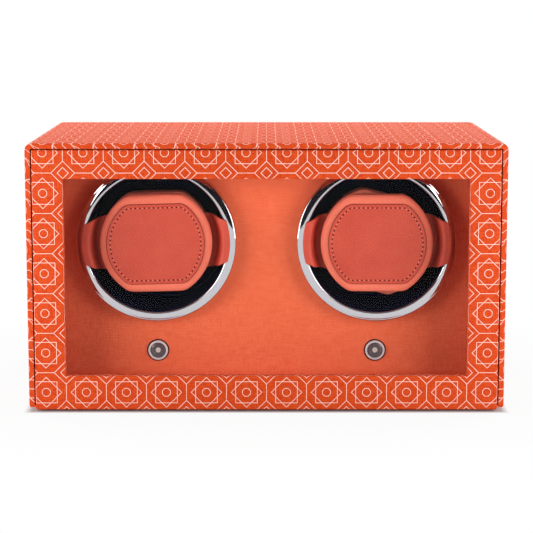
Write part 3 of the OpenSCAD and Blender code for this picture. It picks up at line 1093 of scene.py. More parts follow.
class HoopTree(GrowTree):
    """A closed section swept round a circle in the plane of X and Z."""

    def __init__(self) -> None:
        """Builds the tree. The start mesh is the section, as x = radius and y = depth."""
        super().__init__(
            "swept_hoop",
            {"Centre": "NodeSocketVector", "Steps": "NodeSocketInt", "Material": "NodeSocketMaterial"},
        )
        section = self.node("GeometryNodeMeshToCurve", {}, {"Mesh": self.given()})
        circle = self.node(
            "GeometryNodeCurvePrimitiveCircle", {}, {"Resolution": self.given("Steps"), "Radius": 1.0}
        )
        hoop = self.node("GeometryNodeCurveToMesh", {}, {"Curve": circle, "Profile Curve": section})
        place = self.node("GeometryNodeInputPosition")
        parts = self.tree.nodes.new("ShaderNodeSeparateXYZ")
        self.tree.links.new(place, parts.inputs[0])
        flat = self.node("ShaderNodeCombineXYZ", {}, {"X": parts.outputs[0], "Y": parts.outputs[1]})
        way = self.node("ShaderNodeVectorMath", {"operation": "NORMALIZE"}, {0: flat})
        length = self.node("ShaderNodeVectorMath", {"operation": "LENGTH"}, {0: flat}, "Value")
        radius = self.node("ShaderNodeMath", {"operation": "SUBTRACT"}, {0: length, 1: 1.0})
        spoke = self.node("ShaderNodeVectorMath", {"operation": "SCALE"}, {0: way, "Scale": radius})
        spread = self.tree.nodes.new("ShaderNodeSeparateXYZ")
        self.tree.links.new(spoke, spread.inputs[0])
        deep = self.node("ShaderNodeMath", {"operation": "MULTIPLY"}, {0: parts.outputs[2], 1: -1.0})
        upright = self.node(
            "ShaderNodeCombineXYZ", {}, {"X": spread.outputs[0], "Y": deep, "Z": spread.outputs[1]}
        )
        there = self.node("ShaderNodeVectorMath", {"operation": "ADD"}, {0: upright, 1: self.given("Centre")})
        stood = self.node("GeometryNodeSetPosition", {}, {"Geometry": hoop, "Position": there})
        self.close(stood, self.given("Material"))

    def sweep(
        self, name: str, section: list[Pair], centre: Pair, material: bpy.types.Material, steps: int = 192
    ) -> bpy.types.Object:
        """Sweeps a section.

        Args:
            name: Name of the piece.
            section: Closed outline as (radius, y).
            centre: The axis, as x and z.
            material: Finish of the hoop.
            steps: Steps round the circle.

        Returns:
            The hoop.
        """
        count = len(section)
        made = self.grow(
            name,
            [(radius, y, 0) for radius, y in section],
            [(i, (i + 1) % count) for i in range(count)],
            {"Centre": (centre[0], 0, centre[1]), "Steps": steps, "Material": material},
        )
        tidy_mesh(made)
        return made


def lined_up(node: str, finish: bpy.types.Material) -> None:
    """Gives a CAD node its finish.

    Args:
        node: Name of the node.
        finish: Its only material.
    """
    slots = NODES[node].data.materials
    slots.clear()
    slots.append(finish)


class Side(Enum):
    """The two rotors of the box."""

    LEFT = "left"
    RIGHT = "right"

    def node(self, name: str) -> str:
        """Name of this side's piece."""
        return f"{self.value}_{name}"

    def axis(self) -> Pair:
        """Where the rotor's axis stands, as x and z."""
        low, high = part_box(self.node("bezel"))
        return (low.x + high.x) / 2, (low.z + high.z) / 2


# ---------- the case ----------


@dataclass
class CoverCase:
    """The lift-off case: boards wrapped in printed linen, window glass and lining."""

    finishes: Finishes
    corner: float = 4 * MM
    fold: float = 0.9 * MM
    fold_angle: float = 0.9
    plate_gap: float = 0.5 * MM
    glass_lap: float = 5 * MM
    groove: float = 0.4 * MM
    notch_width: float = 36 * MM
    notch_height: float = 40 * MM

    def __post_init__(self) -> None:
        """Reads the size of the case from the frame."""
        low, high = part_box("left_panel")
        self.half_width = -low.x
        self.wall = self.half_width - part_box("base_plate")[1].x - self.plate_gap
        self.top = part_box("top_panel")[1].z
        self.low = low.z
        self.front, self.back = low.y, high.y

    def unroll(self, x: float, z: float) -> float:
        """Distance along the outside of the shell from the middle of its top.

        Args:
            x: Place across the case.
            z: Place up the case.

        Returns:
            The distance, less than 0 on the left.
        """
        flat = self.half_width - self.corner
        turn_z = self.top - self.corner
        way = math.copysign(1, x)
        x = abs(x)
        if x > flat and z > turn_z:
            return way * (flat + self.corner * math.atan2(x - flat, z - turn_z))
        if x > flat:
            return way * (flat + self.corner * math.pi / 2 + turn_z - z)
        return way * x

    def skin(self) -> bpy.types.Object:
        """The wrapped shell over top and sides, one sheet with folded rims.

        Returns:
            The shell, with a UV map for the print.
        """
        w, t, h, r = self.half_width, self.wall, self.top, self.corner
        flat, turn_z = w - r, h - r
        right = [(w, self.low)] + arc((flat, turn_z), r, 0, math.pi / 2, 8) + [(flat, h)]
        outer = right + [(-x, z) for x, z in reversed(right)]
        inner_corner = (w - t, h - t)
        inner = [(w - t, self.low), inner_corner, (-inner_corner[0], inner_corner[1]), (t - w, self.low)]
        count = len(outer)
        points = [(x, y, z) for y in (self.front, self.back) for x, z in outer + inner]
        size = count + 4
        faces = []
        for i in range(count - 1):
            faces.append([i, i + 1, size + i + 1, size + i])
        for i in range(3):
            a = count + i
            faces.append([a, a + 1, size + a + 1, size + a])
        for a, b in ((0, count), (count - 1, count + 3)):
            faces.append([a, b, size + b, size + a])
        half = count // 2
        for start in (0, size):
            for i in range(count - 1):
                if i == 0:
                    corners = [0, 1, count + 1, count]
                elif i == half - 1:
                    corners = [i, i + 1, count + 2, count + 1]
                elif i == count - 2:
                    corners = [i, i + 1, count + 3, count + 2]
                elif i < half:
                    corners = [i, i + 1, count + 1]
                else:
                    corners = [i, i + 1, count + 2]
                faces.append([start + c for c in corners])
        made = piece_of("cover_skin", points, faces, [self.finishes.wrap, self.finishes.lining])
        self.fold_edges(made, lambda a, b: self.on_rim(a) and self.on_rim(b))
        uv = made.data.uv_layers.new(name="wrap")
        for face in made.data.polygons:
            middle = face.center
            inside = abs(middle.x) < w - t + TINY and middle.z < h - t + TINY
            face.material_index = 1 if inside else 0
            for loop in face.loop_indices:
                p = made.data.vertices[made.data.loops[loop].vertex_index].co
                depth = min(w - abs(p.x), h - p.z) if face.normal.y else 0
                along = p.y - depth * abs(face.normal.y) * (1 if p.y < 0 else -1)
                uv.data[loop].uv = (self.unroll(p.x, p.z), along)
        return made

    def on_rim(self, p: Vector) -> bool:
        """Whether a point lies on the outside at the front, back or lower rim.

        Args:
            p: The point.

        Returns:
            True where it does.
        """
        outside = p.x**2 > (self.half_width - TINY) ** 2 or p.z > self.top - self.corner - TINY
        if abs(p.x) < self.half_width - self.corner - TINY and p.z < self.top - TINY:
            outside = False
        end = min(p.y - self.front, self.back - p.y) < TINY or p.z < self.low + TINY
        return outside and end

    def fold_edges(self, piece: bpy.types.Object, chosen: Callable[[Vector, Vector], bool]) -> None:
        """Rounds the edges whose faces meet at a corner.

        Args:
            piece: The piece, which is changed.
            chosen: Test that the two ends of an edge have to pass.
        """
        work = bmesh.new()
        work.from_mesh(piece.data)
        work.normal_update()
        edges = [
            e
            for e in work.edges
            if len(e.link_faces) == 2
            and e.calc_face_angle() > self.fold_angle
            and chosen(e.verts[0].co, e.verts[1].co)
        ]
        bmesh.ops.bevel(
            work, geom=edges, offset=self.fold, segments=4, profile=0.5, affect="EDGES", clamp_overlap=True
        )
        work.to_mesh(piece.data)
        work.free()
        piece.data.shade_smooth()
        piece.data.set_sharp_from_angle(angle=math.radians(40))

    def board(
        self, name: str, node: str, outlines: list[list[Pair]], lined: int
    ) -> bpy.types.Object:
        """A wrapped board.

        Args:
            name: Name of the piece.
            node: CAD node that it stands for, which gives its front and back.
            outlines: Its outline as x and z, and that of an opening in it.
            lined: 1 where the lining faces back, -1 where it faces front.

        Returns:
            The new board.
        """
        low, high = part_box(node)
        work = filled(outlines, lambda x, z: (x, low.y, z))
        front = list(work.faces)
        grown = bmesh.ops.extrude_face_region(work, geom=front)
        moved = [g for g in grown["geom"] if isinstance(g, bmesh.types.BMVert)]
        bmesh.ops.translate(work, verts=moved, vec=(0, high.y - low.y, 0))
        bmesh.ops.recalc_face_normals(work, faces=work.faces)
        mesh = bpy.data.meshes.new(name)
        work.to_mesh(mesh)
        work.free()
        made = bpy.data.objects.new(name, mesh)
        bpy.context.scene.collection.objects.link(made)
        for material in (self.finishes.wrap, self.finishes.lining):
            mesh.materials.append(material)
        self.fold_edges(made, lambda a, b: True)
        uv = mesh.uv_layers.new(name="wrap")
        for face in mesh.polygons:
            face.material_index = 1 if face.normal.y * lined > 0.9 else 0
            for loop in face.loop_indices:
                p = mesh.vertices[mesh.loops[loop].vertex_index].co
                depth = p.y - low.y if lined > 0 else high.y - p.y
                shift_x = depth * face.normal.x if abs(face.normal.x) > 0.1 else 0
                shift_z = depth * face.normal.z if abs(face.normal.z) > 0.1 else 0
                uv.data[loop].uv = (p.x + shift_x, p.z + shift_z)
        return made

    def rectangle(self, node: str, inset: float = 0.0) -> list[Pair]:
        """Front outline of a CAD node.

        Args:
            node: Name of the node.
            inset: How far each side is taken in.

        Returns:
            Its corners as x and z, anticlockwise from the lower left.
        """
        low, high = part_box(node)
        x0, x1, z0, z1 = low.x + inset, high.x - inset, low.z + inset, high.z - inset
        return [(x0, z0), (x1, z0), (x1, z1), (x0, z1)]

    def front_board(self) -> bpy.types.Object:
        """The wrapped front frame with its window."""
        outlines = [self.rectangle("front_frame", self.groove), self.rectangle("glass_pane", self.glass_lap)]
        return self.board("front_frame_skin", "front_frame", outlines, 1)

    def rear_board(self) -> bpy.types.Object:
        """The wrapped rear panel with the notch for the power lead.

        Returns:
            The new board.
        """
        left, right, upper_right, upper_left = self.rectangle("rear_panel")
        r = self.notch_width / 2
        arch = arc((0, self.notch_height - r), r, math.pi, 0, 24) + [(r, self.notch_height - r)]
        outline = [left, (-r, left[1])] + arch + [(r, right[1]), right, upper_right, upper_left]
        return self.board("rear_panel_skin", "rear_panel", [outline], -1)

    def build(self) -> list[bpy.types.Object]:
        """Makes and dresses the case.

        Returns:
            The new pieces.
        """
        made = [self.skin(), self.front_board(), self.rear_board()]
        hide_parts("top_panel", "left_panel", "right_panel")
        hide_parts("front_frame")
        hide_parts("rear_panel")
        for piece in made:
            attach(piece, "cover")
        lined_up("glass_pane", self.finishes.glass)
        lined_up("glass_retainer", self.finishes.lining)
        lined_up("rest_battens", self.finishes.lining)
        return made


# ---------- the winder block ----------


@dataclass
class WinderBlock:
    """The block on its base plate, with the board, the inlet and the drives inside."""

    finishes: Finishes
    foot_radius: float = 8 * MM
    foot_taper: float = 0.6 * MM
    foot_rim: float = 2 * MM
    foot_wall: float = 3 * MM
    foot_hollow: float = 0.7 * MM
    head_radius: float = 3.6 * MM
    shank_radius: float = 2 * MM
    head_rim: float = 0.5 * MM
    head_depth: float = 2 * MM
    point_radius: float = 0.4 * MM
    point_length: float = 1.5 * MM
    slot_half: float = 0.45 * MM
    slot_depth: float = 1.1 * MM
    slot_reach: float = 0.6
    slot_taper: float = 0.7
    flange_radius: float = 8.5 * MM
    flange_thickness: float = 2 * MM
    body_radius: float = 6 * MM
    socket_radius: float = 2.85 * MM
    socket_depth: float = 10 * MM
    mouth_rim: float = 0.9 * MM
    mouth_step: float = 0.6 * MM
    pin_radius: float = 1 * MM
    pin_sunk: float = 1 * MM

    def feet(self, pegs: PegTree) -> bpy.types.Object:
        """Rubber feet with a rounded rim and a hollow middle.

        Args:
            pegs: Tree that copies a shape to each place.

        Returns:
            The feet, in one piece.
        """
        low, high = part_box("feet")
        r, h, hollow = self.foot_radius, high.z, self.foot_hollow
        profile = rounded(
            [
                (0, h),
                (r, h),
                (r - self.foot_taper, 0),
                (r - self.foot_rim, 0),
                (r - self.foot_wall, hollow),
                (0, hollow),
            ],
            {2: 0.5 * MM, 3: 0.3 * MM},
        )
        shape = turned("foot", profile, (0, 0), [self.finishes.rubber], 40, upright=True)
        places = [(x, y, 0) for x in (low.x + r, high.x - r) for y in (low.y + r, high.y - r)]
        return pegs.plant("rubber_feet", places, shape, self.finishes.rubber)

    def screws(self, pegs: PegTree) -> bpy.types.Object:
        """Countersunk screws with a cross recess in the base plate.

        Args:
            pegs: Tree that copies a shape to each place.

        Returns:
            The screws, in one piece.
        """
        low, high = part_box("base_screws")
        r, arm, deep = self.head_radius, self.slot_half, self.slot_depth
        reach = r * self.slot_reach
        length = high.z - low.z
        cross = [
            (arm, reach), (-arm, reach), (-arm, arm), (-reach, arm), (-reach, -arm), (-arm, -arm),
            (-arm, -reach), (arm, -reach), (arm, -arm), (reach, -arm), (reach, arm), (arm, arm),
        ]
        round_steps, cross_steps = 48, len(cross)
        ring = arc((0, 0), r, 0, 2 * math.pi, round_steps)
        work = filled([ring, cross], lambda x, y: (x, y, 0))
        mesh = bpy.data.meshes.new("screw")
        work.to_mesh(mesh)
        work.free()
        points = [v.co.copy() for v in mesh.vertices]
        faces = [list(f.vertices) for f in mesh.polygons]
        bpy.data.meshes.remove(mesh)
        start = len(points)
        points += [Vector((x * self.slot_taper, y * self.slot_taper, deep)) for x, y in cross]
        faces += band(round_steps, start, cross_steps)
        faces.append([start + i for i in range(cross_steps)])
        outline = (
            (r, self.head_rim),
            (self.shank_radius, self.head_depth),
            (self.shank_radius, length - self.point_length),
            (self.point_radius, length),
        )
        previous = 0
        for radius, z in outline:
            here = len(points)
            points += [Vector((x / r * radius, y / r * radius, z)) for x, y in ring]
            faces += band(previous, here, round_steps)
            previous = here
        faces.append([previous + i for i in range(round_steps)])
        shape = piece_of("screw", points, faces, [self.finishes.steel], 30)
        places = [(x, y, low.z) for x in (low.x + r, high.x - r) for y in (low.y + r, high.y - r)]
        return pegs.plant("base_plate_screws", places, shape, self.finishes.steel)

    def inlet(self) -> bpy.types.Object:
        """The power socket: rounded flange, stepped bore and contact pin.

        Returns:
            The socket.
        """
        low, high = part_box("power_inlet")
        axis = ((low.x + high.x) / 2, (low.z + high.z) / 2)
        back, face = high.y, high.y - self.flange_thickness
        bore, pin, step = self.socket_radius, self.pin_radius, self.mouth_step
        profile = rounded(
            [
                (0, low.y),
                (self.body_radius, low.y),
                (self.body_radius, face),
                (self.flange_radius, face),
                (self.flange_radius, back),
                (bore + self.mouth_rim, back),
                (bore + step, back - step),
                (bore, back - step),
                (bore, back - self.socket_depth),
                (pin, back - self.socket_depth),
                (pin, back - self.pin_sunk),
                (0, back - self.pin_sunk),
            ],
            {4: 0.6 * MM, 5: 0.2 * MM, 10: 0.4 * MM},
        )

        def slot_of(radius: float, y: float) -> int:
            """Steel for the contact pin, black for the rest."""
            return int(radius < pin + 0.2 * MM and y > back - self.socket_depth + 0.1 * MM)

        return turned(
            "power_socket", profile, axis, [self.finishes.black, self.finishes.steel], 64, material_of=slot_of
        )

    def build(self) -> list[bpy.types.Object]:
        """Makes and dresses the fixed pieces.

        Returns:
            The new pieces.
        """
        f = self.finishes
        pegs = PegTree()
        made = [self.feet(pegs), self.screws(pegs), self.inlet()]
        places = (("feet", "rubber"), ("base_screws", "steel"), ("power_inlet", "black_plastic"))
        for piece, (node, slot) in zip(made, places):
            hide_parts(node)
            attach(piece, "base")
        for node in ("base_plate", "faceplate", "block_left", "block_right", "block_top", "block_rear"):
            lined_up(node, f.lining)
        lined_up("control_board", f.circuit)
        lined_up("inlet_nut", f.steel)
        for side in Side:
            lined_up(side.node("chassis"), f.nylon)
            lined_up(side.node("standoffs"), f.steel)
            lined_up(side.node("bush"), f.bronze)
            lined_up(side.node("motor"), f.motor)
        return made


# ---------- push buttons ----------


@dataclass
class PushButton:
    """A lit push button: bright bezel with its nut, smoked cap and lamp."""

    side: Side
    finishes: Finishes
    bezel_radius: float = 5.85 * MM
    cap_radius: float = 4.6 * MM
    fit: float = 0.08 * MM
    barrel_radius: float = 5.58 * MM
    face_thickness: float = 4 * MM
    nut_radius: float = 8 * MM
    nut_height: float = 3 * MM
    lens_radius: float = 1.55 * MM
    lens_flat: float = 1.5 * MM
    lens_thickness: float = 1.4 * MM
    sunk: float = 0.15 * MM
    groove_inner: float = 1.7 * MM
    groove_outer: float = 2.5 * MM
    groove_depth: float = 0.5 * MM
    rim_foot: float = 2.8 * MM
    rim_peak: float = 3.7 * MM
    rim_fall: float = 0.3 * MM
    # Size of the dark ring that paints the shadow of the gap round the bezel.
    gap_shade_width: float = 0.75 * MM
    gap_shade_height: float = 0.25 * MM
    bore_radius: float = 3 * MM

    def __post_init__(self) -> None:
        """Reads the button's place from the frame."""
        low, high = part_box(self.side.node("button"))
        self.axis = ((low.x + high.x) / 2, (low.z + high.z) / 2)

    def bezel(self) -> bpy.types.Object:
        """The bright bezel on its barrel, with a thin dark ring of painted shadow round it for the gap at the
        faceplate, and a nut behind the faceplate.

        Returns:
            All of it, in one piece.
        """
        low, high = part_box(self.side.node("button_bezel"))
        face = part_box("faceplate")[0].y
        bore = self.cap_radius + self.fit
        ring = turned(
            "bezel_ring",
            rounded(
                [
                    (bore, low.y),
                    (self.bezel_radius, low.y),
                    (self.bezel_radius, face),
                    (self.barrel_radius, face),
                    (self.barrel_radius, high.y),
                    (bore, high.y),
                ],
                {0: 0.3 * MM, 1: 0.5 * MM},
                5,
            ),
            self.axis,
            [self.finishes.ring],
            96,
        )
        # A thin dark ring flush on the faceplate round the bezel: painted shadow of the gap there.
        inner, outer = self.bezel_radius + self.fit, self.bezel_radius + self.gap_shade_width
        proud = face - self.gap_shade_height
        profile = [(inner, proud), (outer, proud), (outer, face), (inner, face)]
        washer = turned("washer", profile, self.axis, [self.finishes.washer], 64)
        start = face + self.face_thickness
        outline = [
            (self.axis[0] + self.nut_radius * math.cos(a), self.axis[1] + self.nut_radius * math.sin(a))
            for a in (math.pi / 3 * i for i in range(6))
        ]
        nut = prism("nut", outline, start, start + self.nut_height, [self.finishes.chrome])
        return joined(self.side.node("bright_bezel"), [ring, washer, nut])

    def cap(self) -> bpy.types.Object:
        """The smoked cap: a pale lens in the middle, coloured as the lamp's lens and as a painted highlight,
        a groove round it and a raised rim.

        Returns:
            The cap.
        """
        low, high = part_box(self.side.node("button"))
        r, front = self.cap_radius, low.y
        profile = rounded(
            [
                (0, front + self.sunk),
                (self.lens_flat, front + self.sunk),
                (self.groove_inner, front + self.groove_depth),
                (self.groove_outer, front + self.groove_depth),
                (self.rim_foot, front + self.sunk),
                (self.rim_peak, front),
                (r, front + self.rim_fall),
                (r, high.y),
                (self.bore_radius, high.y),
                (self.bore_radius, front + self.lens_thickness),
                (0, front + self.lens_thickness),
            ],
            {1: 0.1 * MM, 2: 0.1 * MM, 3: 0.1 * MM, 4: 0.15 * MM, 5: 0.4 * MM, 6: 0.2 * MM},
        )

        def slot_of(radius: float, y: float) -> int:
            """Pale lamp lens with a painted highlight for the lens, smoked plastic for the rest."""
            return int(radius < self.lens_radius and y < front + 0.4 * MM)

        return turned(
            self.side.node("button_cap"),
            profile,
            self.axis,
            [self.finishes.smoke, self.finishes.lamp],
            64,
            material_of=slot_of,
        )

    def build(self) -> list[bpy.types.Object]:
        """Makes and dresses the button.

        Returns:
            The new pieces.
        """
        bezel, cap = self.bezel(), self.cap()
        for piece, node, body, slot in (
            (bezel, "button_bezel", "base", "chrome"),
            (cap, "button", self.side.node("button"), "smoke_plastic"),
        ):
            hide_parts(self.side.node(node))
            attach(piece, body)
        lined_up(self.side.node("button_switch"), self.finishes.black)
        return [bezel, cap]


# ---------- rotors ----------


@dataclass
class Rotor:
    """A turning drum with its bright bezel, gear and axle."""

    side: Side
    finishes: Finishes
    hoops: HoopTree
    bezel_width: float = 5.3 * MM
    crown_height: float = 1.8 * MM
    bevel: float = 0.8 * MM
    fall: float = 0.6 * MM
    edge: float = 0.8 * MM
    back_edge: float = 0.3 * MM
    face_steps: int = 10
    drum_wall: float = 2.8 * MM
    drum_floor: float = 2.5 * MM
    floor_round: float = 4 * MM
    back_round: float = 1 * MM
    bore_skin: float = 1 * MM
    gear_height: float = 2.5 * MM
    hub_radius: float = 9 * MM
    bore_radius: float = 4 * MM

    def bezel(self) -> bpy.types.Object:
        """The chrome ring: a bevel inside, then a face that falls back to a rounded outer edge.

        Returns:
            The ring.
        """
        low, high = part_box(self.side.node("bezel"))
        axis = self.side.axis()
        outer = (high.x - low.x) / 2
        inner = outer - self.bezel_width
        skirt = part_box(self.side.node("drum"))[1].x - axis[0]
        top, rim = low.y, low.y + self.crown_height
        peak, shoulder = inner + self.bevel, outer - self.edge
        turn_y = top + self.fall + self.edge
        quarter = [math.pi / 2 * i / 8 for i in range(9)]
        section = [(skirt, rim), (skirt, high.y)]
        section += [(outer - self.back_edge, high.y), (outer, high.y - self.back_edge)]
        section += [(shoulder + self.edge * math.cos(a), turn_y - self.edge * math.sin(a)) for a in quarter]
        for step in range(self.face_steps - 1, -1, -1):
            share = step / self.face_steps
            section.append((peak + (shoulder - peak) * share, top + self.fall * share**2))
        section += [
            (peak - self.bevel * math.sin(a), top + self.bevel * (1 - math.cos(a))) for a in quarter[1:]
        ]
        section.append((inner, rim))
        return self.hoops.sweep(self.side.node("ring"), section, axis, self.finishes.chrome)

    def drum(self) -> bpy.types.Object:
        """The lacquered drum with a rounded floor.

        Returns:
            The drum.
        """
        low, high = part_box(self.side.node("drum"))
        axis = self.side.axis()
        outer = (high.x - low.x) / 2
        inner = outer - self.drum_wall
        hub, bore = self.hub_radius, self.bore_radius
        gear_y = high.y
        back = gear_y - self.gear_height
        floor_y = back - self.drum_floor
        profile = rounded(
            [
                (inner, low.y),
                (outer, low.y),
                (outer, back),
                (hub, back),
                (hub, gear_y),
                (bore, gear_y),
                (bore, floor_y + self.bore_skin),
                (0, floor_y + self.bore_skin),
                (0, floor_y),
                (inner, floor_y),
            ],
            {2: self.back_round, 9: self.floor_round},
        )
        return turned(self.side.node("drum_shell"), profile, axis, [self.finishes.lacquer], 128)

    def build(self) -> list[bpy.types.Object]:
        """Makes and dresses the rotor.

        Returns:
            The new pieces.
        """
        f, side = self.finishes, self.side
        ring, drum = self.bezel(), self.drum()
        body = side.node("rotor")
        for piece, node, slot in ((ring, "bezel", "chrome"), (drum, "drum", "drum_black")):
            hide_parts(side.node(node))
            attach(piece, body)
        lined_up(side.node("gear"), f.nylon)
        lined_up(side.node("axle"), f.steel)
        lined_up(side.node("collar"), f.steel)
        lined_up(side.node("pinion"), f.bronze)
        return [ring, drum]


# ---------- cuffs ----------


@dataclass(frozen=True)
class Stuffing:
    """How a suede cover is blown up over its foam."""

    voxel: float = 2.0 * MM
    pressure: float = 4.0
    frames: int = 20
    most: float = 1.6 * MM

    def fill(self, piece: bpy.types.Object, back: float) -> None:
        """Swells the piece with a cloth simulation and keeps its back flat.

        Args:
            piece: Closed mesh, a little smaller than the pad.
            back: The y of the face that rests on the carrier.
        """
        remesh = piece.modifiers.new("Remesh", "REMESH")
        remesh.mode = "VOXEL"
        remesh.voxel_size = self.voxel
        remesh.use_smooth_shade = True
        settle(piece)
        before = [v.co.copy() for v in piece.data.vertices]
        pins = piece.vertex_groups.new(name="pins")
        pins.add([v.index for v in piece.data.vertices if abs(v.co.y - back) < self.voxel], 1, "REPLACE")
        cloth = piece.modifiers.new("Cloth", "CLOTH")
        cloth.settings.use_pressure = True
        cloth.settings.uniform_pressure_force = self.pressure
        cloth.settings.effector_weights.gravity = 0
        cloth.settings.vertex_group_mass = "pins"
        for step in range(1, self.frames + 1):
            bpy.context.scene.frame_set(step)
        settle(piece)
        piece.vertex_groups.clear()
        bpy.context.scene.frame_set(1)
        for vertex, old in zip(piece.data.vertices, before):
            move = vertex.co - old
            if move.length > self.most:
                vertex.co = old + move.normalized() * self.most
        smooth = piece.modifiers.new("Round", "SUBSURF")
        smooth.levels = smooth.render_levels = 1
        settle(piece)
        piece.data.shade_smooth()


@dataclass
class Cuff:
    """A watch cuff: front pad with its stitched patch, carrier, side wings and rear pad."""

    side: Side
    finishes: Finishes
    stitches: StitchTree
    stuffing: Stuffing = Stuffing()
    radius: float = 33.6 * MM
    flat: float = 29.3 * MM
    corner: float = 7 * MM
    shrink: float = 0.7 * MM
    patch_radius: float = 28.8 * MM
    patch_flat: float = 23.6 * MM
    patch_corner: float = 7 * MM
    patch_rise: float = 0.9 * MM
    crown: float = 0.5 * MM
    tilt: float = 1.5
    rear_turn: float = 17.0
    rear_sag: float = 1.2 * MM
    wing_thickness: float = 1.6 * MM
    # Share of the way out beyond which the patch has the dark edge colour: edge paint plus painted groove
    # shade.
    dark_edge_from: float = 0.982
    seam_inset: float = 2.3 * MM
    seam_pitch: float = 2.65 * MM
    thread_size: Spot = (1.5 * MM, 0.4 * MM, 0.55 * MM)
    # Size of the dark beads that paint the shade in the needle holes.
    hole_shade_size: Spot = (1.15 * MM, 0.26 * MM, 0.95 * MM)
    wing_foot: float = 20 * MM
    wing_out: float = 40.8 * MM
    wing_lip: float = 43.4 * MM
    wing_half: float = 16.6 * MM
    wing_turn_in: float = 3.2 * MM
    wing_lean: float = 0.6 * MM
    wing_rounds: Pair = (2.2 * MM, 2.6 * MM)
    wing_edge: float = 0.35 * MM
    wing_edge_turn: float = 50
    wing_taper_from: float = 33.4 * MM
    wing_taper: float = 0.46
    wing_rows: int = 13

    def __post_init__(self) -> None:
        """Reads the place of the cuff from the frame."""
        self.axis = self.side.axis()
        self.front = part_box(self.side.node("cuff_pad"))[0].y
        self.pad_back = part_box(self.side.node("cuff_pad"))[1].y
        self.turn = self.tilt if self.side is Side.LEFT else 0.0

    def spot(self, x: float, y: float, z: float, turn: float | None = None) -> Vector:
        """A point of the cuff in the frame's axes, turned as it lies.

        Args:
            x: Distance right of the cuff's axis, as seen from the front.
            y: Place along the axis.
            z: Distance above the axis.
            turn: Anticlockwise turn in degrees, or None for the cuff's own.

        Returns:
            The point.
        """
        angle = math.radians(self.turn if turn is None else turn)
        c, s = math.cos(angle), math.sin(angle)
        return Vector((self.axis[0] + x * c - z * s, y, self.axis[1] + x * s + z * c))

    def cushion(self, name: str, layers: list[Pair], turn: float) -> bpy.types.Object:
        """A closed pad.

        Args:
            name: Name of the piece.
            layers: Inset and y of each outline, from one end to the other.
            turn: Turn round the axis, in degrees.

        Returns:
            The pad, not yet filled.
        """
        rings = [
            cut_disc(self.radius - inset, self.flat - inset, max(self.corner - inset / 2, 2 * MM))
            for inset, _ in layers
        ]
        count = len(rings[0])
        points = [self.spot(x, y, z, turn) for ring, (_, y) in zip(rings, layers) for x, z in ring]
        faces = []
        for k in range(len(layers) - 1):
            faces += band(k * count, (k + 1) * count, count)
        faces += [list(range(count)), list(range(len(points) - count, len(points)))]
        return piece_of(name, points, faces, [self.finishes.suede])

    def front_pad(self) -> bpy.types.Object:
        """The suede pad behind the patch.

        Returns:
            The filled pad.
        """
        s, f, b = self.shrink, self.front, self.pad_back
        layers = [
            (s + 0.3 * MM, b),
            (s, b - 1 * MM),
            (s, f + 3 * MM),
            (s + 0.9 * MM, f + 1.4 * MM),
            (s + 2.8 * MM, f + 0.8 * MM),
        ]
        made = self.cushion(self.side.node("front_cushion"), layers, self.turn)
        self.stuffing.fill(made, b)
        for vertex in made.data.vertices:
            p = vertex.co
            p.y = min(p.y, b)
            share = self.share(p)
            if share < 1.02 and p.y < f + 4 * MM:
                p.y = max(p.y, self.face_y(share) + self.patch_rise * 0.5)
        return made

    def share(self, p: Vector) -> float:
        """How far out a point lies on the patch.

        Args:
            p: The point, in the frame's axes.

        Returns:
            0 in the middle, 1 on the patch's edge.
        """
        angle = math.radians(-self.turn)
        dx, dz = p.x - self.axis[0], p.z - self.axis[1]
        x = abs(dx * math.cos(angle) - dz * math.sin(angle))
        z = abs(dx * math.sin(angle) + dz * math.cos(angle))
        return max(math.hypot(x, z) / self.patch_radius, z / self.patch_flat)

    def face_y(self, share: float) -> float:
        """Front of the crowned patch at a share of the way out."""
        return self.front - self.patch_rise + self.crown * (share**2 - 1) + 0.5 * MM

    def patch(self) -> bpy.types.Object:
        """The smooth leather patch with an edge that is pressed down and dark: edge paint, deepened as
        painted shade in the groove.

        Returns:
            The patch.
        """
        outline = cut_disc(self.patch_radius, self.patch_flat, self.patch_corner, 12)
        count = len(outline)
        flat_steps = [(share, 0) for share in (0.25, 0.5, 0.75, 0.9, 0.955)]
        steps = flat_steps + [(0.968, 0.12), (0.981, 0.0), (0.992, 0.08), (1.0, 0.4), (1.0, 1.3)]
        points = [self.spot(0, self.face_y(0), 0)]
        for share, drop in steps:
            for x, z in outline:
                points.append(self.spot(x * share, self.face_y(share) + drop * MM, z * share))
        faces = [[0, 1 + i, 1 + (i + 1) % count] for i in range(count)]
        for k in range(len(steps) - 1):
            a, b = 1 + k * count, 1 + (k + 1) * count
            faces += [[a + i, b + i, b + (i + 1) % count, a + (i + 1) % count] for i in range(count)]
        faces.append([1 + (len(steps) - 1) * count + i for i in range(count)])
        materials = [self.finishes.patch, self.finishes.paint]
        made = piece_of(self.side.node("patch_leather"), points, faces, materials, 60)
        # The outermost faces get the dark edge colour: edge paint, deepened as painted shade in the groove.
        for face in made.data.polygons:
            if self.share(face.center) > self.dark_edge_from:
                face.material_index = 1
        return made

    def seam(self) -> list[bpy.types.Object]:
        """The row of stitches round the patch, and dark beads between them that paint the shade in the needle
        holes.

        Returns:
            The stitches and the dark hole beads of painted shade, as two pieces.
        """
        inset = self.seam_inset
        outline = cut_disc(
            self.patch_radius - inset, self.patch_flat - inset, self.patch_corner - 2 * MM, 12
        )
        path = []
        for x, z in outline:
            share = max(math.hypot(x, z) / self.patch_radius, abs(z) / self.patch_flat)
            path.append(self.spot(x, self.face_y(share), z))
        count = len(path)
        length = sum((path[i] - path[i - 1]).length for i in range(count))
        steps = 2 * round(length / self.seam_pitch)
        loop = [(i, (i + 1) % count) for i in range(count)]
        made = []
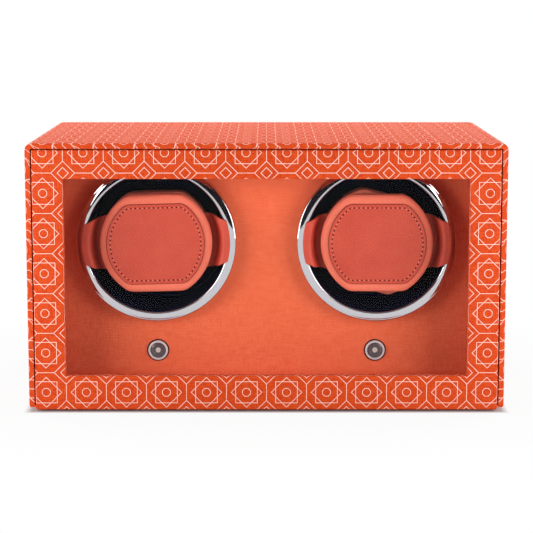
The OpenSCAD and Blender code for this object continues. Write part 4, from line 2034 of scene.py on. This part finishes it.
        # The hole beads are dark: they paint the shade in the needle holes.
        for name, phase, size, material in (
            ("seam_thread", 0, self.thread_size, self.finishes.thread),
            ("seam_holes", 1, self.hole_shade_size, self.finishes.hole_shade),
        ):
            values = {"Steps": steps, "Phase": phase, "Size": size, "Material": material}
            made.append(self.stitches.grow(self.side.node(name), path, loop, values))
        return made

    def wings(self) -> bpy.types.Object:
        """The two leather wings that bend up beside the pad and hook over the bezel.

        Returns:
            Both wings, in one piece.
        """
        low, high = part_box(self.side.node("cuff_wings"))
        tab, front = high.y, low.y
        out, t = self.wing_out, self.wing_thickness
        corners = [
            (self.wing_foot, tab - t),
            (out - t - self.wing_turn_in, tab - t),
            (out - t - self.wing_lean, front),
            (self.wing_lip, front),
        ]
        path = rounded(corners, {1: self.wing_rounds[0], 2: self.wing_rounds[1]}, 6)
        count, rows = len(path), self.wing_rows
        parts = []
        for way in (-1, 1):
            points, faces = [], []
            for layer in (0, 1):
                for i, (r, y) in enumerate(path):
                    ahead = Vector(path[min(i + 1, count - 1)]) - Vector(path[max(i - 1, 0)])
                    ahead.normalize()
                    r2, y2 = r + layer * t * -ahead.y, y + layer * t * ahead.x
                    reach = self.wing_half - max(r - self.wing_taper_from, 0) * self.wing_taper
                    for k in range(rows):
                        z = reach * (2 * k / (rows - 1) - 1)
                        x = math.sqrt(max(r2 * r2 - z * z, 1e-8))
                        points.append(self.spot(way * x, y2, z))
            size = count * rows
            for i in range(count - 1):
                for k in range(rows - 1):
                    a = i * rows + k
                    quad = [a, a + 1, a + rows + 1, a + rows]
                    faces += [quad, [q + size for q in quad]]
            rim = [i * rows for i in range(count)] + [(count - 1) * rows + k for k in range(1, rows)]
            rim += [i * rows + rows - 1 for i in range(count - 2, -1, -1)]
            rim += list(range(rows - 2, 0, -1))
            for i, a in enumerate(rim):
                b = rim[(i + 1) % len(rim)]
                faces.append([a, b, b + size, a + size])
            part = piece_of("wing", points, faces, [self.finishes.wing], 30)
            bevel = part.modifiers.new("Edge", "BEVEL")
            bevel.width = self.wing_edge
            bevel.segments = 3
            bevel.limit_method = "ANGLE"
            bevel.angle_limit = math.radians(self.wing_edge_turn)
            settle(part)
            part.data.shade_smooth()
            parts.append(part)
        return joined(self.side.node("side_wings"), parts)

    def rear_pad(self) -> bpy.types.Object:
        """The longer suede pad behind the carrier, turned as it was left.

        Returns:
            The filled pad.
        """
        low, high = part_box(self.side.node("rear_pad"))
        s = self.shrink
        turn = self.turn if self.side is Side.LEFT else -self.rear_turn
        layers = [
            (s + 1 * MM, low.y),
            (s, low.y + 1.5 * MM),
            (s + 0.6 * MM, high.y - 12 * MM),
            (s + 2.2 * MM, high.y - 4 * MM),
            (s + 4.6 * MM, high.y - 0.7 * MM),
        ]
        made = self.cushion(self.side.node("rear_cushion"), layers, turn)
        self.stuffing.fill(made, low.y)
        sag = self.rear_sag if self.side is Side.RIGHT else 0.0
        for vertex in made.data.vertices:
            vertex.co.y = max(vertex.co.y, low.y)
            vertex.co.z -= sag
        return made

    def build(self) -> list[bpy.types.Object]:
        """Makes and dresses the cuff.

        Returns:
            The new pieces.
        """
        side = self.side
        pad, patch, wings, rear = self.front_pad(), self.patch(), self.wings(), self.rear_pad()
        rows = (
            (pad, "cuff_pad", "cuff", "suede"),
            (patch, "cuff_patch", "cuff", "smooth_leather"),
            (wings, "cuff_wings", "cuff", "smooth_leather"),
            (rear, "rear_pad", "cuff_rear", "suede"),
        )
        for piece, node, body, slot in rows:
            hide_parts(side.node(node))
            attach(piece, side.node(body))
        seams = self.seam()
        for piece in seams:
            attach(piece, side.node("cuff"))
        lined_up(side.node("cuff_carrier"), self.finishes.black)
        return [pad, patch, wings, rear] + seams


# ---------- studio ----------


@dataclass(frozen=True)
class Lamp:
    """A soft rectangular studio lamp that looks at a point."""

    name: str
    place: Spot
    size: Pair
    power: float
    aim: Spot = (0, -0.03, 0.08)

    def light(self) -> bpy.types.Object:
        """Hangs the lamp.

        Returns:
            The lamp.
        """
        data = bpy.data.lights.new(self.name, "AREA")
        data.shape = "RECTANGLE"
        data.size, data.size_y = self.size
        data.energy = self.power
        made = bpy.data.objects.new(self.name, data)
        made.location = self.place
        made.rotation_euler = (Vector(self.aim) - Vector(self.place)).to_track_quat("-Z", "Y").to_euler()
        bpy.context.scene.collection.objects.link(made)
        return made


@dataclass
class Studio:
    """Camera, pale floor, lamps and world."""

    camera_place: Spot = (0, -1.0975, 0.2407)
    camera_pitch: float = 81.26
    lens: float = 121.98
    sensor: float = 36
    ambient: float = 0.03
    paper: Colour = (0.6, 0.6, 0.6)
    floor_reach: float = 6.0
    shadow_rim: Pair = (-1 * MM, 4 * MM)
    shadow_reach: float = 150 * MM
    rim_share: float = 0.93
    curtain_y: float = -2.4
    curtain_half: float = 4.0
    curtain_height: float = 3.5
    lamps: tuple[Lamp, ...] = (
        Lamp("left_softbox", (-0.405, -0.362, 0.155), (0.42, 0.22), 2.0, (0, -0.0385, 0.10)),
        Lamp("right_softbox", (0.405, -0.362, 0.155), (0.42, 0.22), 1.95, (0, -0.0385, 0.10)),
        Lamp("top_softbox", (0, 0.15, 1.0), (1.0, 0.6), 7.2),
        Lamp("left_back_softbox", (-1.1, 1.0, 0.7), (0.8, 0.6), 12),
        Lamp("right_back_softbox", (1.1, 1.0, 0.7), (0.8, 0.6), 12),
    )

    def camera(self) -> None:
        """Sets up the camera."""
        data = bpy.data.cameras.new("camera")
        data.lens = self.lens
        data.sensor_width = self.sensor
        made = bpy.data.objects.new("camera", data)
        made.location = self.camera_place
        made.rotation_euler = (math.radians(self.camera_pitch), 0, 0)
        bpy.context.scene.collection.objects.link(made)
        bpy.context.scene.camera = made

    def bright_rays(self, shader: Shader) -> Value:
        """Tells the rays that see the background: camera, glossy and transmission rays.

        Args:
            shader: Shader that the nodes go into.

        Returns:
            1 for those rays, 0 for the rest.
        """
        path = shader.node("ShaderNodeLightPath")
        seen = Value(shader, path.outputs["Is Camera Ray"])
        for name in ("Is Glossy Ray", "Is Transmission Ray"):
            seen = seen.most(Value(shader, path.outputs[name]))
        return seen

    def floor(self) -> bpy.types.Object:
        """The white floor, which keeps a faint shadow and is clear from beneath.

        Returns:
            The floor.
        """
        shader = Shader("floor_paper")
        paper = shader.read("ShaderNodeBsdfDiffuse", {}, {"Color": self.paper})
        glow = shader.read("ShaderNodeEmission", {}, {"Color": (1.0, 1.0, 1.0), "Strength": 1.0})
        x, y, _ = shader.split(shader.place())
        low, high = CAD_BOX
        out = (abs(x) - high[0]).most(abs(y) - high[1])
        share = out.step(*self.shadow_rim) * self.rim_share
        share = share + out.step(0, self.shadow_reach) * (1 - self.rim_share)
        mix = shader.read("ShaderNodeMixShader", {}, {0: self.bright_rays(shader) * share, 1: paper, 2: glow})
        under = shader.read("ShaderNodeNewGeometry", output="Backfacing")
        clear = shader.read("ShaderNodeBsdfTransparent")
        sheet = shader.read("ShaderNodeMixShader", {}, {0: under, 1: mix, 2: clear})
        shader.tree.links.new(sheet.socket, shader.output.inputs["Surface"])
        reach = self.floor_reach
        corners = [(-reach, -reach, 0), (reach, -reach, 0), (reach, reach, 0), (-reach, reach, 0)]
        made = piece_of("floor", corners, [[0, 1, 2, 3]], [shader.material])
        return made

    def curtain(self) -> bpy.types.Object:
        """A dark curtain behind the camera, which only gloss can see.

        Returns:
            The curtain.
        """
        shader = Shader("curtain_cloth")
        fold = shader.noise(shader.place((6, 1, 0.4)), 1, 3)
        cloth = shader.blend(fold, (0.004, 0.004, 0.006), (0.012, 0.012, 0.016))
        material = shader.finish(Base_Color=cloth, Roughness=1.0)
        x, y, z = self.curtain_half, self.curtain_y, self.curtain_height
        corners = [(-x, y, 0), (x, y, 0), (x, y, z), (-x, y, z)]
        made = piece_of("curtain", corners, [[0, 1, 2, 3]], [material])
        made.visible_camera = made.visible_shadow = made.visible_diffuse = False
        return made

    def world(self) -> None:
        """A dim, even room light with a white background."""
        world = bpy.data.worlds.new("room")
        bpy.context.scene.world = world
        world.use_nodes = True
        tree = world.node_tree
        tree.nodes.clear()
        output = tree.nodes.new("ShaderNodeOutputWorld")
        back = tree.nodes.new("ShaderNodeBackground")
        path = tree.nodes.new("ShaderNodeLightPath")
        seen = path.outputs["Is Camera Ray"]
        for name in ("Is Glossy Ray", "Is Transmission Ray"):
            either = tree.nodes.new("ShaderNodeMath")
            either.operation = "MAXIMUM"
            tree.links.new(seen, either.inputs[0])
            tree.links.new(path.outputs[name], either.inputs[1])
            seen = either.outputs[0]
        level = tree.nodes.new("ShaderNodeMapRange")
        level.inputs["To Min"].default_value = self.ambient
        level.inputs["To Max"].default_value = 1.0
        back.inputs["Color"].default_value = (1, 1, 1, 1)
        tree.links.new(seen, level.inputs["Value"])
        tree.links.new(level.outputs[0], back.inputs["Strength"])
        tree.links.new(back.outputs[0], output.inputs["Surface"])

    def build(self) -> None:
        """Sets the scene."""
        bpy.context.scene.view_settings.view_transform = "Standard"
        self.camera()
        self.world()
        self.floor()
        self.curtain()
        for lamp in self.lamps:
            lamp.light()


def main() -> None:
    """Builds the looks in order."""
    logging.basicConfig(level=logging.INFO, format="%(name)s %(message)s")
    Studio().build()
    finishes = Finishes()
    hoops, stitches = HoopTree(), StitchTree()
    makers = [CoverCase(finishes), WinderBlock(finishes)]
    for side in Side:
        makers += [
            Rotor(side, finishes, hoops),
            PushButton(side, finishes),
            Cuff(side, finishes, stitches),
        ]
    for maker in makers:
        for piece in maker.build():
            LOG.info("%s made: %d faces", piece.name, len(piece.data.polygons))
    bpy.context.view_layer.update()


if __name__ == "__main__":
    main()
